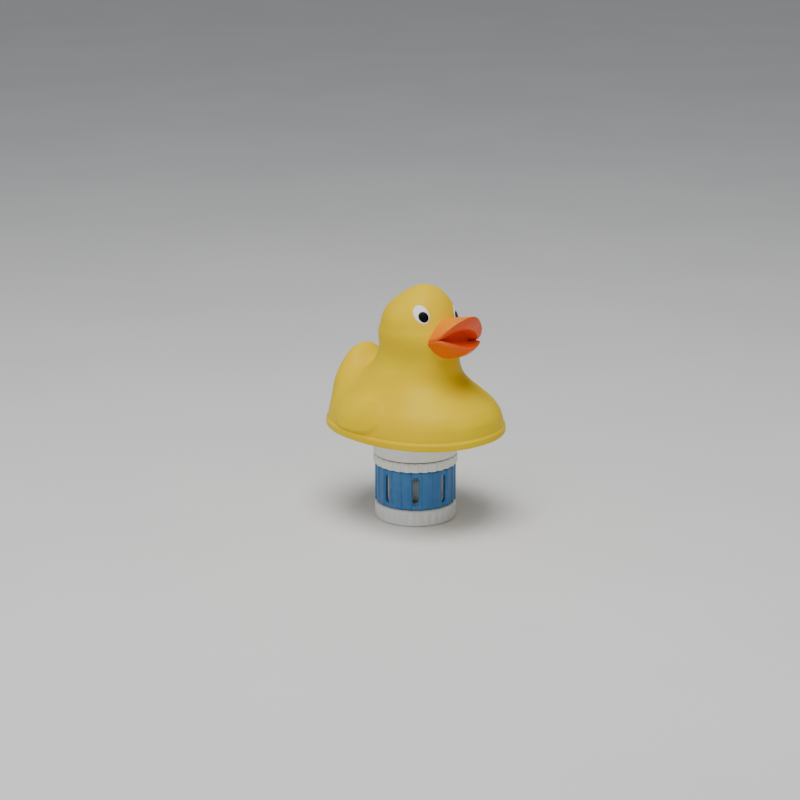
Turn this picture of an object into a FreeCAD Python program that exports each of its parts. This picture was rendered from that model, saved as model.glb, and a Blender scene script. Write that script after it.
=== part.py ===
"""Floating chlorine dispenser: a hollow vinyl duck float over a twist-off, vented tablet canister.

Row frame, millimetres: +Z up, the duck faces -Y, and the origin is the middle of the face that the
canister stands on. A part on the duck's own left is at +X.
"""

import FreeCAD, Part
import math
import os

V = FreeCAD.Vector
UP = V(0, 0, 1)
ORIGIN = V(0, 0, 0)

# --- Driving dimensions -------------------------------------------------------------------------

# Duck form, as stations: (height above its underside, middle, half length, half width).
# The middle is how far the station's centre lies in front of the canister's axis.
DUCK_STATIONS = (
    (0.0, -0.2, 54.8, 46.0),
    (5.0, -0.1, 55.1, 46.2),
    (11.0, 0.2, 54.2, 45.0),
    (17.0, 0.2, 50.7, 41.9),
    (23.0, -0.8, 44.7, 36.6),
    (28.0, -1.5, 37.9, 31.5),
    (32.5, -1.3, 32.3, 27.9),
    (38.0, 0.5, 28.1, 24.8),
    (44.0, 2.1, 25.9, 23.3),
    (50.0, 3.2, 25.1, 22.9),
    (57.0, 3.3, 25.5, 23.9),
    (64.0, 2.7, 24.3, 23.8),
    (71.0, 2.5, 21.7, 21.4),
    (77.0, 3.0, 18.0, 17.8),
    (82.0, 4.1, 12.8, 13.0),
    (85.0, 4.7, 8.4, 8.6),
)
DUCK_TOP = 87.4
DUCK_TOP_MIDDLE = 5.0
BASE_SQUARENESS = 0.25      # how much fuller than an ellipse the underside's outline is
SQUARENESS_HEIGHT = 40.0    # height where the sections have become true ellipses
HEAD_TILT_DEG = 7.0         # the head leans to the duck's own left
HEAD_TILT_HEIGHT = 50.0     # height where that lean starts
OUTLINE_POINTS = 28

RUMP = {"middle": -36.0, "height": 14.0, "radii": (18.5, 29.0, 21.0), "lean_deg": 0.0}
TAIL = {"middle": -45.0, "height": 20.5, "radii": (9.5, 17.0, 23.0), "lean_deg": -5.0}

VINYL_WALL = 1.6
VINYL_FLOOR = 2.0
RIM_HEIGHT = 4.6
RIM_PROUD = 1.1
RIM_ROUND = 1.0

# Open bill, as sections square to the duck's length: (distance in front of the canister's axis,
# half width, keel, lower lip's edge, upper lip's edge, crown). Heights are above the underside.
BILL_SECTIONS = (
    (12.0, 13.4, 47.0, 57.4, 58.4, 71.0),
    (22.0, 14.6, 47.2, 57.7, 58.5, 70.8),
    (29.0, 16.4, 48.5, 58.5, 60.4, 72.5),
    (34.0, 17.0, 50.2, 59.2, 62.6, 73.8),
    (37.0, 16.4, 51.5, 59.3, 65.4, 74.6),
    (39.4, 14.0, 52.7, 58.7, 69.0, 75.5),
    (42.0, 8.8, 54.0, 57.2, 73.8, 76.5),
    (44.2, 2.8, 55.0, 55.9, 76.5, 77.2),
)
MOUTH_BACK = 29.5           # how far in front of the axis the mouth's inner fold lies
LIP_THICK = 2.4
LIP_EDGE = 1.2

# Eyes: a slanting ellipse printed on each side of the head. The two differ a little.
# Each place is the distance in front of the axis, the distance out to the side, and the height.
EYE_PLACES = {"left": (20.1, 12.2, 72.6), "right": (17.2, 15.4, 73.0)}
EYE_HALF_WIDTH = 4.5
EYE_HALF_HEIGHT = 6.6
EYE_SLANT_DEG = 38.0
PUPIL_HALF_WIDTH = 3.15
PUPIL_HALF_HEIGHT = 3.7
PUPIL_FORWARD = 1.5
PUPIL_DROP = 1.6
PAINT = 0.35
PUPIL_PAINT = 0.6
PRINT_REACH = 14.0          # how deep the printing tools reach into the head's curve

# Canister stack, from the resting face up.
CAP_HEIGHT = 10.0
CAP_WALL = 3.2
CAP_FLOOR = 2.0
BALLAST_THICK = 3.2
BALLAST_BORE = 11.0
LID_THICK = 1.6
BASKET_RADIUS = 21.2
BASKET_WALL = 2.0
BASKET_FLOOR = 2.0
TABLET_RADIUS = 15.0
TABLET_HEIGHT = 15.0
TABLET_BEVEL = 1.4
TABLET_COUNT = 2
NECK_HEIGHT = 9.3           # how far the threaded neck rises above the collar
TRAY_THICK = 1.5
TRAY_FOOT_HEIGHT = 1.5
TRAY_FOOT_RADIUS = 1.6
TRAY_FOOT_COUNT = 4
TRAY_HOLE_RADIUS = 1.9
TRAY_HOLE_COUNT = 8
SLEEVE_HEIGHT = 23.2
SLEEVE_WALL = 2.2
SLEEVE_RIB = 0.8
SLEEVE_RIB_COUNT = 24
COLLAR_HEIGHT = 5.5
COLLAR_REACH = 4.1          # how far the grip collar stands out from the basket
COLLAR_FLUTES = 28
COLLAR_FLUTE_RADIUS = 1.1
SLOT_COUNT = 8
SLOT_WIDTH = 3.6
SLOT_HEIGHT = 17.0
DRAG_SECTION = 0.6          # radius of the drag ring's round section
DRAG_DROP = 1.6             # how far the drag ring lies below the sleeve's top
SEAL_THICK = 2.5

# Neck cap and the clamp that closes the duck's underside.
FLANGE_EDGE = 4.5           # from the screws' circle out to the flange's edge
FLANGE_THICK = 3.0
SKIRT_WALL = 2.3
GASKET_THICK = 1.5
HOLE_EDGE = 5.5             # from the screws' circle in to the duck's open underside
RING_EDGE = 4.5             # from the screws' circle in to the clamp ring's bore
RING_THICK = 3.5
BOSS_RADIUS = 4.0
BOSS_HEIGHT = 6.5
SCREW_COUNT = 4
SCREW_REACH = 5.2           # from the threaded skirt out to the screws' circle
SCREW_RADIUS = 1.45
SCREW_LENGTH = 13.5
SCREW_HEAD_RADIUS = 2.8
SCREW_HEAD_HEIGHT = 2.0
SCREW_HOLE_RADIUS = 1.7
PILOT_RADIUS = 1.5

# Quick-start thread between the basket's neck and the neck cap.
THREAD_LEAD = 9.6
THREAD_STARTS = 2
THREAD_SWEEP_DEG = 140.0
THREAD_DEPTH = 1.4
THREAD_BASE = 2.0
THREAD_CREST = 1.2

# Clearances.
FIT_GAP = 0.1               # parts that are glued or snapped together
TURN_GAP = 0.3              # the sleeve on the basket
DRAG_GAP = 0.05             # the drag ring in the sleeve
TRAY_GAP = 0.5
THREAD_GAP = 0.4
END_GAP = 0.4
SKIRT_GAP = 0.8
SINK = 0.3                  # how far a fused feature reaches into the piece that it grows from

# --- Derived places -----------------------------------------------------------------------------

CAP_BORE = BASKET_RADIUS + FIT_GAP
CAP_RADIUS = CAP_BORE + CAP_WALL
BALLAST_BASE = CAP_FLOOR
LID_BASE = BALLAST_BASE + BALLAST_THICK + FIT_GAP
BASKET_BASE = LID_BASE + LID_THICK + FIT_GAP
BASKET_INSIDE = BASKET_RADIUS - BASKET_WALL
BASKET_FLOOR_TOP = BASKET_BASE + BASKET_FLOOR
TABLET_BASE = BASKET_FLOOR_TOP + TRAY_FOOT_HEIGHT + TRAY_THICK
TRAY_RADIUS = BASKET_INSIDE - TRAY_GAP
SLEEVE_BASE = CAP_HEIGHT + END_GAP
SLEEVE_BORE = BASKET_RADIUS + TURN_GAP
SLEEVE_RADIUS = SLEEVE_BORE + SLEEVE_WALL
DRAG_OUTER = SLEEVE_BORE - DRAG_GAP
DRAG_LEVEL = SLEEVE_BASE + SLEEVE_HEIGHT - DRAG_DROP
COLLAR_BASE = SLEEVE_BASE + SLEEVE_HEIGHT + END_GAP
COLLAR_TOP = COLLAR_BASE + COLLAR_HEIGHT
COLLAR_RADIUS = BASKET_RADIUS + COLLAR_REACH
BASKET_TOP = COLLAR_TOP + NECK_HEIGHT
FLANGE_BASE = BASKET_TOP + SEAL_THICK
FLANGE_TOP = FLANGE_BASE + FLANGE_THICK
DECK = FLANGE_TOP + GASKET_THICK
RING_BASE = DECK + VINYL_FLOOR
SKIRT_BORE = BASKET_RADIUS + THREAD_DEPTH + THREAD_GAP
SKIRT_RADIUS = SKIRT_BORE + SKIRT_WALL
SCREW_CIRCLE = SKIRT_RADIUS + SCREW_REACH
FLANGE_RADIUS = SCREW_CIRCLE + FLANGE_EDGE
DUCK_HOLE_RADIUS = SCREW_CIRCLE - HOLE_EDGE
RING_BORE_RADIUS = SCREW_CIRCLE - RING_EDGE
SKIRT_BASE = COLLAR_TOP + SKIRT_GAP
THREAD_RISE = THREAD_LEAD * THREAD_SWEEP_DEG / 360.0
THREAD_PITCH = THREAD_LEAD / THREAD_STARTS
SLOT_MIDDLE = SLEEVE_BASE + SLEEVE_HEIGHT / 2


# --- Small tools --------------------------------------------------------------------------------

def disc(radius, height, base):
    """A cylinder about the canister's axis."""
    return Part.makeCylinder(radius, height, V(0, 0, base), UP)


def ring(outer, inner, height, base):
    """A flat ring about the canister's axis."""
    return disc(outer, height, base).cut(disc(inner, height, base))


def around(shape, count, first_deg=0.0):
    """Copies of a shape, evenly spaced about the canister's axis."""
    copies = []
    for index in range(count):
        copy = shape.copy()
        copy.rotate(ORIGIN, UP, first_deg + 360.0 * index / count)
        copies.append(copy)
    return copies


def post(circle, radius, height, base):
    """An upright cylinder standing off the axis, on a circle of the given radius."""
    return Part.makeCylinder(radius, height, V(circle, 0, base), UP)


def ellipsoid(centre, radii):
    """A solid ellipsoid whose radii lie along X, Y and Z."""
    matrix = FreeCAD.Matrix()
    matrix.scale(*radii)
    shape = Part.makeSphere(1.0).transformGeometry(matrix)
    shape.translate(centre)
    return shape


def lean(shape):
    """Leans a piece of the head to the duck's own left, about a line along the duck's length."""
    leant = shape.copy()
    leant.rotate(V(0, 0, DECK + HEAD_TILT_HEIGHT), V(0, 1, 0), HEAD_TILT_DEG)
    return leant


# --- Duck form ----------------------------------------------------------------------------------

def lean_offset(height):
    """How far the head's lean has carried a station towards the duck's left at that height."""
    return max(0.0, height - HEAD_TILT_HEIGHT) * math.tan(math.radians(HEAD_TILT_DEG))


def station_wire(height, middle, half_length, half_width):
    """The closed outline of the duck at one height."""
    share = max(0.0, 1.0 - height / SQUARENESS_HEIGHT)
    power = 2.0 / (2.0 + BASE_SQUARENESS * share)
    points = []
    for index in range(OUTLINE_POINTS):
        angle = 2.0 * math.pi * index / OUTLINE_POINTS
        c, s = math.cos(angle), math.sin(angle)
        across = math.copysign(abs(c) ** power, c) * half_width
        along = math.copysign(abs(s) ** power, s) * half_length
        points.append(V(lean_offset(height) + across, -middle + along, DECK + height))
    curve = Part.BSplineCurve()
    curve.interpolate(points, PeriodicFlag=True)
    return Part.Wire([curve.toShape()])


def grown_stations(grow):
    """The duck's stations, moved along the form's own slope by grow."""
    stations = []
    last = len(DUCK_STATIONS) - 1
    for index, (height, middle, half_length, half_width) in enumerate(DUCK_STATIONS):
        below = DUCK_STATIONS[max(0, index - 1)]
        above = DUCK_STATIONS[min(last, index + 1)]
        slope = (below[3] - above[3]) / (above[0] - below[0])
        out = grow / math.hypot(1.0, slope)
        rise = 0.0 if index == 0 else out * slope
        stations.append((height + rise, middle, half_length + out, half_width + out))
    return stations


def rounded_lobe(lobe, grow):
    """One of the ellipsoids that fill out the duck's rear, cut off at the underside."""
    across, along, tall = lobe["radii"][1], lobe["radii"][0], lobe["radii"][2]
    shape = ellipsoid(ORIGIN, (across + grow, along + grow, tall + grow))
    shape.rotate(ORIGIN, V(1, 0, 0), -lobe["lean_deg"])
    shape.translate(V(0, -lobe["middle"], DECK + lobe["height"]))
    return shape.common(Part.makeBox(200, 200, 200, V(-100, -100, DECK)))


def duck_form(grow=0.0):
    """The duck's solid form without its bill, grown or shrunk all over by grow."""
    stations = grown_stations(grow)
    wires = [station_wire(*station) for station in stations]
    tip = V(lean_offset(DUCK_TOP), -DUCK_TOP_MIDDLE, DECK + DUCK_TOP + grow)
    wires.append(Part.Vertex(tip))
    form = Part.makeLoft(wires, True, False)
    return form.fuse([rounded_lobe(RUMP, grow), rounded_lobe(TAIL, grow)])


def rim_band():
    """The raised band round the duck's underside."""
    height, middle, half_length, half_width = DUCK_STATIONS[1]
    wire = station_wire(0.0, middle, half_length + RIM_PROUD, half_width + RIM_PROUD)
    band = Part.Face(wire).extrude(V(0, 0, RIM_HEIGHT))
    return band.makeFillet(RIM_ROUND, [edge for edge in band.Edges if edge.Closed and edge.Length > 100])


def duck_shell(form):
    """The hollow vinyl moulding: wall, floor, rim band and the hole that the clamp closes."""
    cavity = duck_form(-VINYL_WALL)
    above_floor = Part.makeBox(200, 200, 200, V(-100, -100, DECK + VINYL_FLOOR))
    shell = form.fuse(rim_band()).cut(cavity.common(above_floor))
    holes = [disc(DUCK_HOLE_RADIUS, VINYL_FLOOR, DECK)]
    holes += around(post(SCREW_CIRCLE, SCREW_HOLE_RADIUS, VINYL_FLOOR, DECK), SCREW_COUNT, 45.0)
    return shell.cut(holes)


def bill_outline(reach, half_width, keel, lower_edge, upper_edge, crown):
    """A section of the bill, square to the duck's length: an arch over a bowl."""
    low_left, high_left = V(-half_width, -reach, lower_edge), V(-half_width, -reach, upper_edge)
    low_right, high_right = V(half_width, -reach, lower_edge), V(half_width, -reach, upper_edge)
    edges = [
        Part.Arc(high_left, V(0, -reach, crown), high_right).toShape(),
        Part.makeLine(high_right, low_right),
        Part.Arc(low_right, V(0, -reach, keel), low_left).toShape(),
        Part.makeLine(low_left, high_left),
    ]
    wire = Part.Wire(edges)
    wire.translate(V(0, 0, DECK))
    return wire


def bill_section_at(reach):
    """The bill's section at any distance in front of the axis, between the listed ones."""
    for near, far in zip(BILL_SECTIONS, BILL_SECTIONS[1:]):
        if near[0] <= reach <= far[0]:
            share = (reach - near[0]) / (far[0] - near[0])
            return tuple(a + share * (b - a) for a, b in zip(near, far))
    return BILL_SECTIONS[-1]


def mouth_outline(section):
    """The gap between the lips at one section, running out past the bill's sides."""
    reach, half_width, keel, lower_edge, upper_edge, crown = section
    open_share = min(1.0, (reach - MOUTH_BACK) / LIP_THICK)
    middle = (lower_edge + upper_edge) / 2
    half_edge = max(0.1, (upper_edge - lower_edge) / 2 - LIP_EDGE)
    roof = middle + half_edge + max(0.4, open_share * (crown - LIP_THICK - middle - half_edge))
    floor = middle - half_edge - max(0.4, open_share * (middle - half_edge - keel - LIP_THICK))
    return bill_outline(reach, half_width + LIP_EDGE, floor, middle - half_edge, middle + half_edge, roof)


def duck_bill(form):
    """The open bill: the upper lip arches up, the lower lip forms a bowl, and a mouth parts them."""
    outside = Part.makeLoft([bill_outline(*section) for section in BILL_SECTIONS], True, False)
    inner = [bill_section_at(MOUTH_BACK), bill_section_at(MOUTH_BACK + LIP_THICK)]
    inner += [section for section in BILL_SECTIONS if section[0] > MOUTH_BACK + LIP_THICK]
    tip = BILL_SECTIONS[-1]
    inner.append((tip[0] + LIP_THICK,) + tip[1:])
    mouth = Part.makeLoft([mouth_outline(section) for section in inner], True, False)
    return lean(outside.cut(mouth)).cut(form)


def print_bar(side, place, half_width, half_height, forward, drop):
    """An elliptical bar through the head at an eye, square to the surface, on side +1 or -1."""
    ahead, aside, height = place
    face = Part.Face(Part.Wire([Part.Ellipse(ORIGIN, half_height, half_width).toShape()]))
    face.rotate(ORIGIN, UP, 90 - side * EYE_SLANT_DEG)
    face.translate(V(-side * forward, -drop, 0))
    bar = face.extrude(V(0, 0, PRINT_REACH))
    bar.translate(V(0, 0, -PRINT_REACH / 2))
    head_height, head_middle = DUCK_STATIONS[11][:2]
    outward = V(side * aside, head_middle - ahead, height - head_height)
    outward.normalize()
    bar.rotate(ORIGIN, V(1, 0, 0), 90 - math.degrees(math.asin(outward.z)))
    bar.rotate(ORIGIN, UP, math.degrees(math.atan2(outward.x, -outward.y)))
    bar.translate(V(side * aside, -ahead, DECK + height))
    return lean(bar)


def eye_pieces(form):
    """Both eyes: a white ellipse with a black pupil, each a film of paint on the head."""
    film = duck_form(PAINT).cut(form)
    pupil_film = duck_form(PUPIL_PAINT).cut(form)
    pieces = {}
    for name, side in (("left", 1), ("right", -1)):
        place = EYE_PLACES[name]
        white_bar = print_bar(side, place, EYE_HALF_WIDTH, EYE_HALF_HEIGHT, 0.0, 0.0)
        pupil_bar = print_bar(side, place, PUPIL_HALF_WIDTH, PUPIL_HALF_HEIGHT, PUPIL_FORWARD, PUPIL_DROP)
        pieces["eye_white_" + name] = film.common(white_bar).cut(pupil_bar)
        pieces["pupil_" + name] = pupil_film.common(pupil_bar)
    return pieces


# --- Clamp and neck -----------------------------------------------------------------------------

def helical_ridge(root_radius, outward, base):
    """One start of the thread: a ridge on a cylinder of root_radius, rising from base."""
    helix = Part.makeHelix(THREAD_LEAD, THREAD_RISE, root_radius)
    inner = root_radius - outward * SINK
    crest = root_radius + outward * THREAD_DEPTH
    corners = [
        V(inner, 0, -THREAD_BASE / 2), V(crest, 0, -THREAD_CREST / 2),
        V(crest, 0, THREAD_CREST / 2), V(inner, 0, THREAD_BASE / 2),
    ]
    profile = Part.makePolygon(corners + corners[:1])
    ridge = Part.Wire(helix).makePipeShell([profile], True, True)
    ridge.translate(V(0, 0, base))
    return ridge


def clamp_ring():
    """The stiff ring inside the duck that the screws pull down on the vinyl floor."""
    body = ring(FLANGE_RADIUS, RING_BORE_RADIUS, RING_THICK, RING_BASE)
    bosses = around(post(SCREW_CIRCLE, BOSS_RADIUS, RING_THICK + BOSS_HEIGHT, RING_BASE), SCREW_COUNT, 45.0)
    pilot_depth = SCREW_LENGTH - FLANGE_THICK - GASKET_THICK - VINYL_FLOOR + 1.0
    pilots = around(post(SCREW_CIRCLE, PILOT_RADIUS, pilot_depth, RING_BASE), SCREW_COUNT, 45.0)
    return body.fuse(bosses).cut(pilots)


def float_gasket():
    """The soft ring between the duck's underside and the neck cap."""
    body = ring(FLANGE_RADIUS, RING_BORE_RADIUS, GASKET_THICK, FLANGE_TOP)
    holes = around(post(SCREW_CIRCLE, SCREW_HOLE_RADIUS, GASKET_THICK, FLANGE_TOP), SCREW_COUNT, 45.0)
    return body.cut(holes)


def neck_cap():
    """The lid that closes the duck and holds the canister: a flange over a threaded skirt."""
    flange = disc(FLANGE_RADIUS, FLANGE_THICK, FLANGE_BASE)
    lower_edge = [e for e in flange.Edges if e.Closed and abs(e.BoundBox.ZMax - FLANGE_BASE) < 1e-6]
    flange = flange.makeFillet(FLANGE_THICK / 3, lower_edge)
    skirt = ring(SKIRT_RADIUS, SKIRT_BORE, FLANGE_BASE - SKIRT_BASE + SINK, SKIRT_BASE)
    ridge_base = SKIRT_BASE + THREAD_BASE / 2
    ridge = helical_ridge(SKIRT_BORE, -1, ridge_base)
    holes = around(post(SCREW_CIRCLE, SCREW_HOLE_RADIUS, FLANGE_THICK, FLANGE_BASE), SCREW_COUNT, 45.0)
    return flange.fuse([skirt] + around(ridge, THREAD_STARTS)).cut(holes)


def neck_screws():
    """The pan-head screws that hold the neck cap up against the duck, as one group."""
    shank = post(SCREW_CIRCLE, SCREW_RADIUS, SCREW_LENGTH, FLANGE_BASE)
    head = post(SCREW_CIRCLE, SCREW_HEAD_RADIUS, SCREW_HEAD_HEIGHT, FLANGE_BASE - SCREW_HEAD_HEIGHT)
    rim = [e for e in head.Edges if e.Closed and e.BoundBox.ZMax < FLANGE_BASE - SCREW_HEAD_HEIGHT / 2]
    head = head.makeFillet(SCREW_HEAD_HEIGHT / 2, rim)
    bar_length, bar_width, bar_depth = SCREW_HEAD_RADIUS * 1.1, 0.7, SCREW_HEAD_HEIGHT / 2
    corner = V(SCREW_CIRCLE - bar_length / 2, -bar_width / 2, FLANGE_BASE - SCREW_HEAD_HEIGHT)
    bar = Part.makeBox(bar_length, bar_width, bar_depth, corner)
    other = bar.copy()
    other.rotate(V(SCREW_CIRCLE, 0, 0), UP, 90)
    return Part.makeCompound(around(shank.fuse(head).cut([bar, other]), SCREW_COUNT, 45.0))


# --- Canister -----------------------------------------------------------------------------------

def vent_slots(inner, outer):
    """The upright round-ended slots through a wall between two radii."""
    straight = SLOT_HEIGHT - SLOT_WIDTH
    low = SLOT_MIDDLE - straight / 2
    slot = Part.makeBox(outer - inner, SLOT_WIDTH, straight, V(inner, -SLOT_WIDTH / 2, low))
    for end in (low, low + straight):
        slot = slot.fuse(Part.makeCylinder(SLOT_WIDTH / 2, outer - inner, V(inner, 0, end), V(1, 0, 0)))
    return around(slot.removeSplitter(), SLOT_COUNT)


def tablet_basket():
    """The canister's cup: vented wall, drag ring's groove, grip collar and threaded neck."""
    outside = disc(BASKET_RADIUS, BASKET_TOP - BASKET_BASE, BASKET_BASE)
    inside = disc(BASKET_INSIDE, BASKET_TOP - BASKET_FLOOR_TOP, BASKET_FLOOR_TOP)
    flute = post(COLLAR_RADIUS, COLLAR_FLUTE_RADIUS, COLLAR_HEIGHT, COLLAR_BASE)
    collar = disc(COLLAR_RADIUS, COLLAR_HEIGHT, COLLAR_BASE).cut(around(flute, COLLAR_FLUTES))
    ridge_base = SKIRT_BASE + THREAD_BASE / 2 + THREAD_PITCH / 2
    ridge = helical_ridge(BASKET_RADIUS, 1, ridge_base)
    cup = outside.fuse([collar] + around(ridge, THREAD_STARTS)).cut(inside)
    groove_root = DRAG_OUTER - 2 * DRAG_SECTION
    groove = ring(BASKET_RADIUS, groove_root, 2.4 * DRAG_SECTION, DRAG_LEVEL - 1.2 * DRAG_SECTION)
    return cup.cut(vent_slots(BASKET_INSIDE - SINK, BASKET_RADIUS + SINK) + [groove])


def drag_ring():
    """The soft ring in the basket's groove that holds the sleeve where it is set."""
    return Part.makeTorus(DRAG_OUTER - DRAG_SECTION, DRAG_SECTION, V(0, 0, DRAG_LEVEL), UP)


def tablet_tray():
    """The loose grid that holds the tablets up to the level of the slots."""
    plate = disc(TRAY_RADIUS, TRAY_THICK, BASKET_FLOOR_TOP + TRAY_FOOT_HEIGHT)
    foot_circle = TRAY_RADIUS - TRAY_FOOT_RADIUS - 1.0
    foot = post(foot_circle, TRAY_FOOT_RADIUS, TRAY_FOOT_HEIGHT + SINK, BASKET_FLOOR_TOP)
    hole_base, hole_depth = BASKET_FLOOR_TOP, TRAY_FOOT_HEIGHT + TRAY_THICK
    holes = [disc(TRAY_HOLE_RADIUS, hole_depth, hole_base)]
    inner_hole = post(TRAY_RADIUS * 0.4, TRAY_HOLE_RADIUS, hole_depth, hole_base)
    outer_hole = post(TRAY_RADIUS * 0.72, TRAY_HOLE_RADIUS, hole_depth, hole_base)
    holes += around(inner_hole, TRAY_HOLE_COUNT // 2, 45.0)
    holes += around(outer_hole, TRAY_HOLE_COUNT, 180.0 / TRAY_HOLE_COUNT)
    return plate.fuse(around(foot, TRAY_FOOT_COUNT)).cut(holes)


def vent_sleeve():
    """The collar that turns on the basket to open and close the slots."""
    body = ring(SLEEVE_RADIUS, SLEEVE_BORE, SLEEVE_HEIGHT, SLEEVE_BASE)
    rib_width = SLEEVE_RIB * 1.6
    corner = V(SLEEVE_RADIUS - SINK, -rib_width / 2, SLEEVE_BASE)
    rib = Part.makeBox(SLEEVE_RIB + SINK, rib_width, SLEEVE_HEIGHT, corner)
    ribs = around(rib, SLEEVE_RIB_COUNT, 180.0 / SLEEVE_RIB_COUNT)
    return body.fuse(ribs).cut(vent_slots(SLEEVE_BORE - SINK, SLEEVE_RADIUS + 2 * SLEEVE_RIB))


def base_cap():
    """The weighted foot, snapped on the basket's lower end."""
    body = disc(CAP_RADIUS, CAP_HEIGHT, 0)
    body = body.makeFillet(1.2, [edge for edge in body.Edges if edge.Closed])
    return body.cut(disc(CAP_BORE, CAP_HEIGHT - CAP_FLOOR, CAP_FLOOR))


def ballast_ring():
    """The steel weight in the foot."""
    return ring(CAP_BORE - FIT_GAP, BALLAST_BORE, BALLAST_THICK, BALLAST_BASE)


def ballast_lid():
    """The disc welded over the weight to keep it dry."""
    return disc(CAP_BORE - FIT_GAP, LID_THICK, LID_BASE)


def neck_seal():
    """The soft ring between the basket's mouth and the neck cap."""
    return ring(BASKET_RADIUS - FIT_GAP, BASKET_INSIDE + FIT_GAP, SEAL_THICK, BASKET_TOP)


def chlorine_tablet(index):
    """One pressed tablet, counted from the bottom of the stack."""
    tablet = disc(TABLET_RADIUS, TABLET_HEIGHT, TABLET_BASE + index * TABLET_HEIGHT)
    return tablet.makeChamfer(TABLET_BEVEL, [edge for edge in tablet.Edges if edge.Closed])


# --- Build --------------------------------------------------------------------------------------

def build():
    """Every piece, by node name."""
    form = duck_form()
    pieces = {
        "duck_shell": duck_shell(form),
        "bill": duck_bill(form),
        "clamp_ring": clamp_ring(),
        "float_gasket": float_gasket(),
        "neck_cap": neck_cap(),
        "neck_screws": neck_screws(),
        "neck_seal": neck_seal(),
        "tablet_basket": tablet_basket(),
        "tablet_tray": tablet_tray(),
        "drag_ring": drag_ring(),
        "vent_sleeve": vent_sleeve(),
        "base_cap": base_cap(),
        "ballast_ring": ballast_ring(),
        "ballast_lid": ballast_lid(),
    }
    pieces.update(eye_pieces(form))
    for index in range(TABLET_COUNT):
        pieces["chlorine_tablet_%d" % (index + 1)] = chlorine_tablet(index)
    return pieces


os.makedirs("parts", exist_ok=True)
for name, piece in build().items():
    piece.exportStep("parts/%s.step" % name)
    print("%-20s %2d solid(s) %10.1f mm3 valid %s" % (name, len(piece.Solids), piece.Volume, piece.isValid()))
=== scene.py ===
"""Visual model of a floating chlorine dispenser: a vinyl duck over a twist-off tablet canister.

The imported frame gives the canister's pieces, the bodies and the joints. This script gives each visible
piece its final mesh and finish. Shapes are worked out in millimetres and turned into metres when their
mesh is made. The duck faces -Y, its own left is +X, and +Z is up.
"""

from __future__ import annotations

import logging
import math
from dataclasses import dataclass, field
from enum import Enum
from typing import Callable, Iterable, Sequence

import bmesh
import bpy
import numpy as np
from mathutils import Matrix, Vector

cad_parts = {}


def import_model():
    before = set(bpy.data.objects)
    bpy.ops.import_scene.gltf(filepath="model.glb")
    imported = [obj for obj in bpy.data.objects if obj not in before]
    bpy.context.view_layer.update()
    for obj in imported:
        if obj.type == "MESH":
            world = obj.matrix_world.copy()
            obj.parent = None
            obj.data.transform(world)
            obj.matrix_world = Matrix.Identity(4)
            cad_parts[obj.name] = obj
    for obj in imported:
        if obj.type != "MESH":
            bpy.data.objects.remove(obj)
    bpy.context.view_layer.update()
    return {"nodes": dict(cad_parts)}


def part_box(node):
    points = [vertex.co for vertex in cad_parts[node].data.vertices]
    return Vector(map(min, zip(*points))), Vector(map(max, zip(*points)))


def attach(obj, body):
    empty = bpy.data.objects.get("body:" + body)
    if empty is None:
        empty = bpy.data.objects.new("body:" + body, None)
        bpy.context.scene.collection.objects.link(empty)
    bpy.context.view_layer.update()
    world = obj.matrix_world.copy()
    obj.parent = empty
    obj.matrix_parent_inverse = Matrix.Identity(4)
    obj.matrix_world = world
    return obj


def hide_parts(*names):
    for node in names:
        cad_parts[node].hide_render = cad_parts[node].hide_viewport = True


LOG = logging.getLogger("dispenser")
MM = 0.001
Field = Callable[[np.ndarray], np.ndarray]
Quads = np.ndarray
Points = np.ndarray


class Body(Enum):
    """The frame's rigid bodies that the visual pieces ride on."""

    CANISTER = "canister"
    DUCK = "duck_float"
    SLEEVE = "sleeve"


class Slot(Enum):
    """The record's material slots that the visual pieces use."""

    VINYL = "yellow_vinyl"
    ORANGE = "orange_paint"
    WHITE_PAINT = "white_paint"
    BLACK_PAINT = "black_paint"
    WHITE_PLASTIC = "white_plastic"
    BLUE_PLASTIC = "blue_plastic"
    STAINLESS = "stainless"
    CHLORINE = "chlorine"


class Side(Enum):
    """The duck's own left and right, as the sign of X."""

    LEFT = 1
    RIGHT = -1


# --- Blending and implicit shapes ---------------------------------------------------------------


def soft_min(a: Points, b: Points, reach: float) -> Points:
    """Joins two implicit shapes with a fillet.

    Args:
        a: Distances to the first shape.
        b: Distances to the second shape.
        reach: How far the fillet reaches, in millimetres.

    Returns:
        Distances to the joined shape.
    """
    share = np.clip(0.5 + 0.5 * (b - a) / reach, 0.0, 1.0)
    return b * (1.0 - share) + a * share - reach * share * (1.0 - share)


def soft_max(a: Points, b: Points, reach: float) -> Points:
    """Keeps what two implicit shapes share, with a rounded edge of that reach."""
    return -soft_min(-a, -b, reach)


def smooth_step(value: Points, low: float, high: float) -> Points:
    """Rises smoothly from 0 at low to 1 at high."""
    share = np.clip((value - low) / (high - low), 0.0, 1.0)
    return share * share * (3.0 - 2.0 * share)


def ellipsoid(
    points: Points, centre: Sequence[float], radii: Sequence[float], pitch: float = 0.0,
) -> Points:
    """Distance, near enough, to an ellipsoid in the duck's own directions.

    Args:
        points: Places as forward, left and up.
        centre: The ellipsoid's centre.
        radii: Its forward, sideways and upright radii.
        pitch: How far its top leans back, in degrees.

    Returns:
        A negative value inside, about the distance outside.
    """
    local = points - np.asarray(centre)
    turn = math.radians(pitch)
    forward = local[..., 0] * math.cos(turn) + local[..., 2] * math.sin(turn)
    rise = local[..., 2] * math.cos(turn) - local[..., 0] * math.sin(turn)
    scaled = np.stack([forward / radii[0], local[..., 1] / radii[1], rise / radii[2]], -1)
    length = np.linalg.norm(scaled, axis=-1)
    slope = np.linalg.norm(scaled / np.asarray(radii), axis=-1)
    return length * (length - 1.0) / np.maximum(slope, 1e-9)


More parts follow.
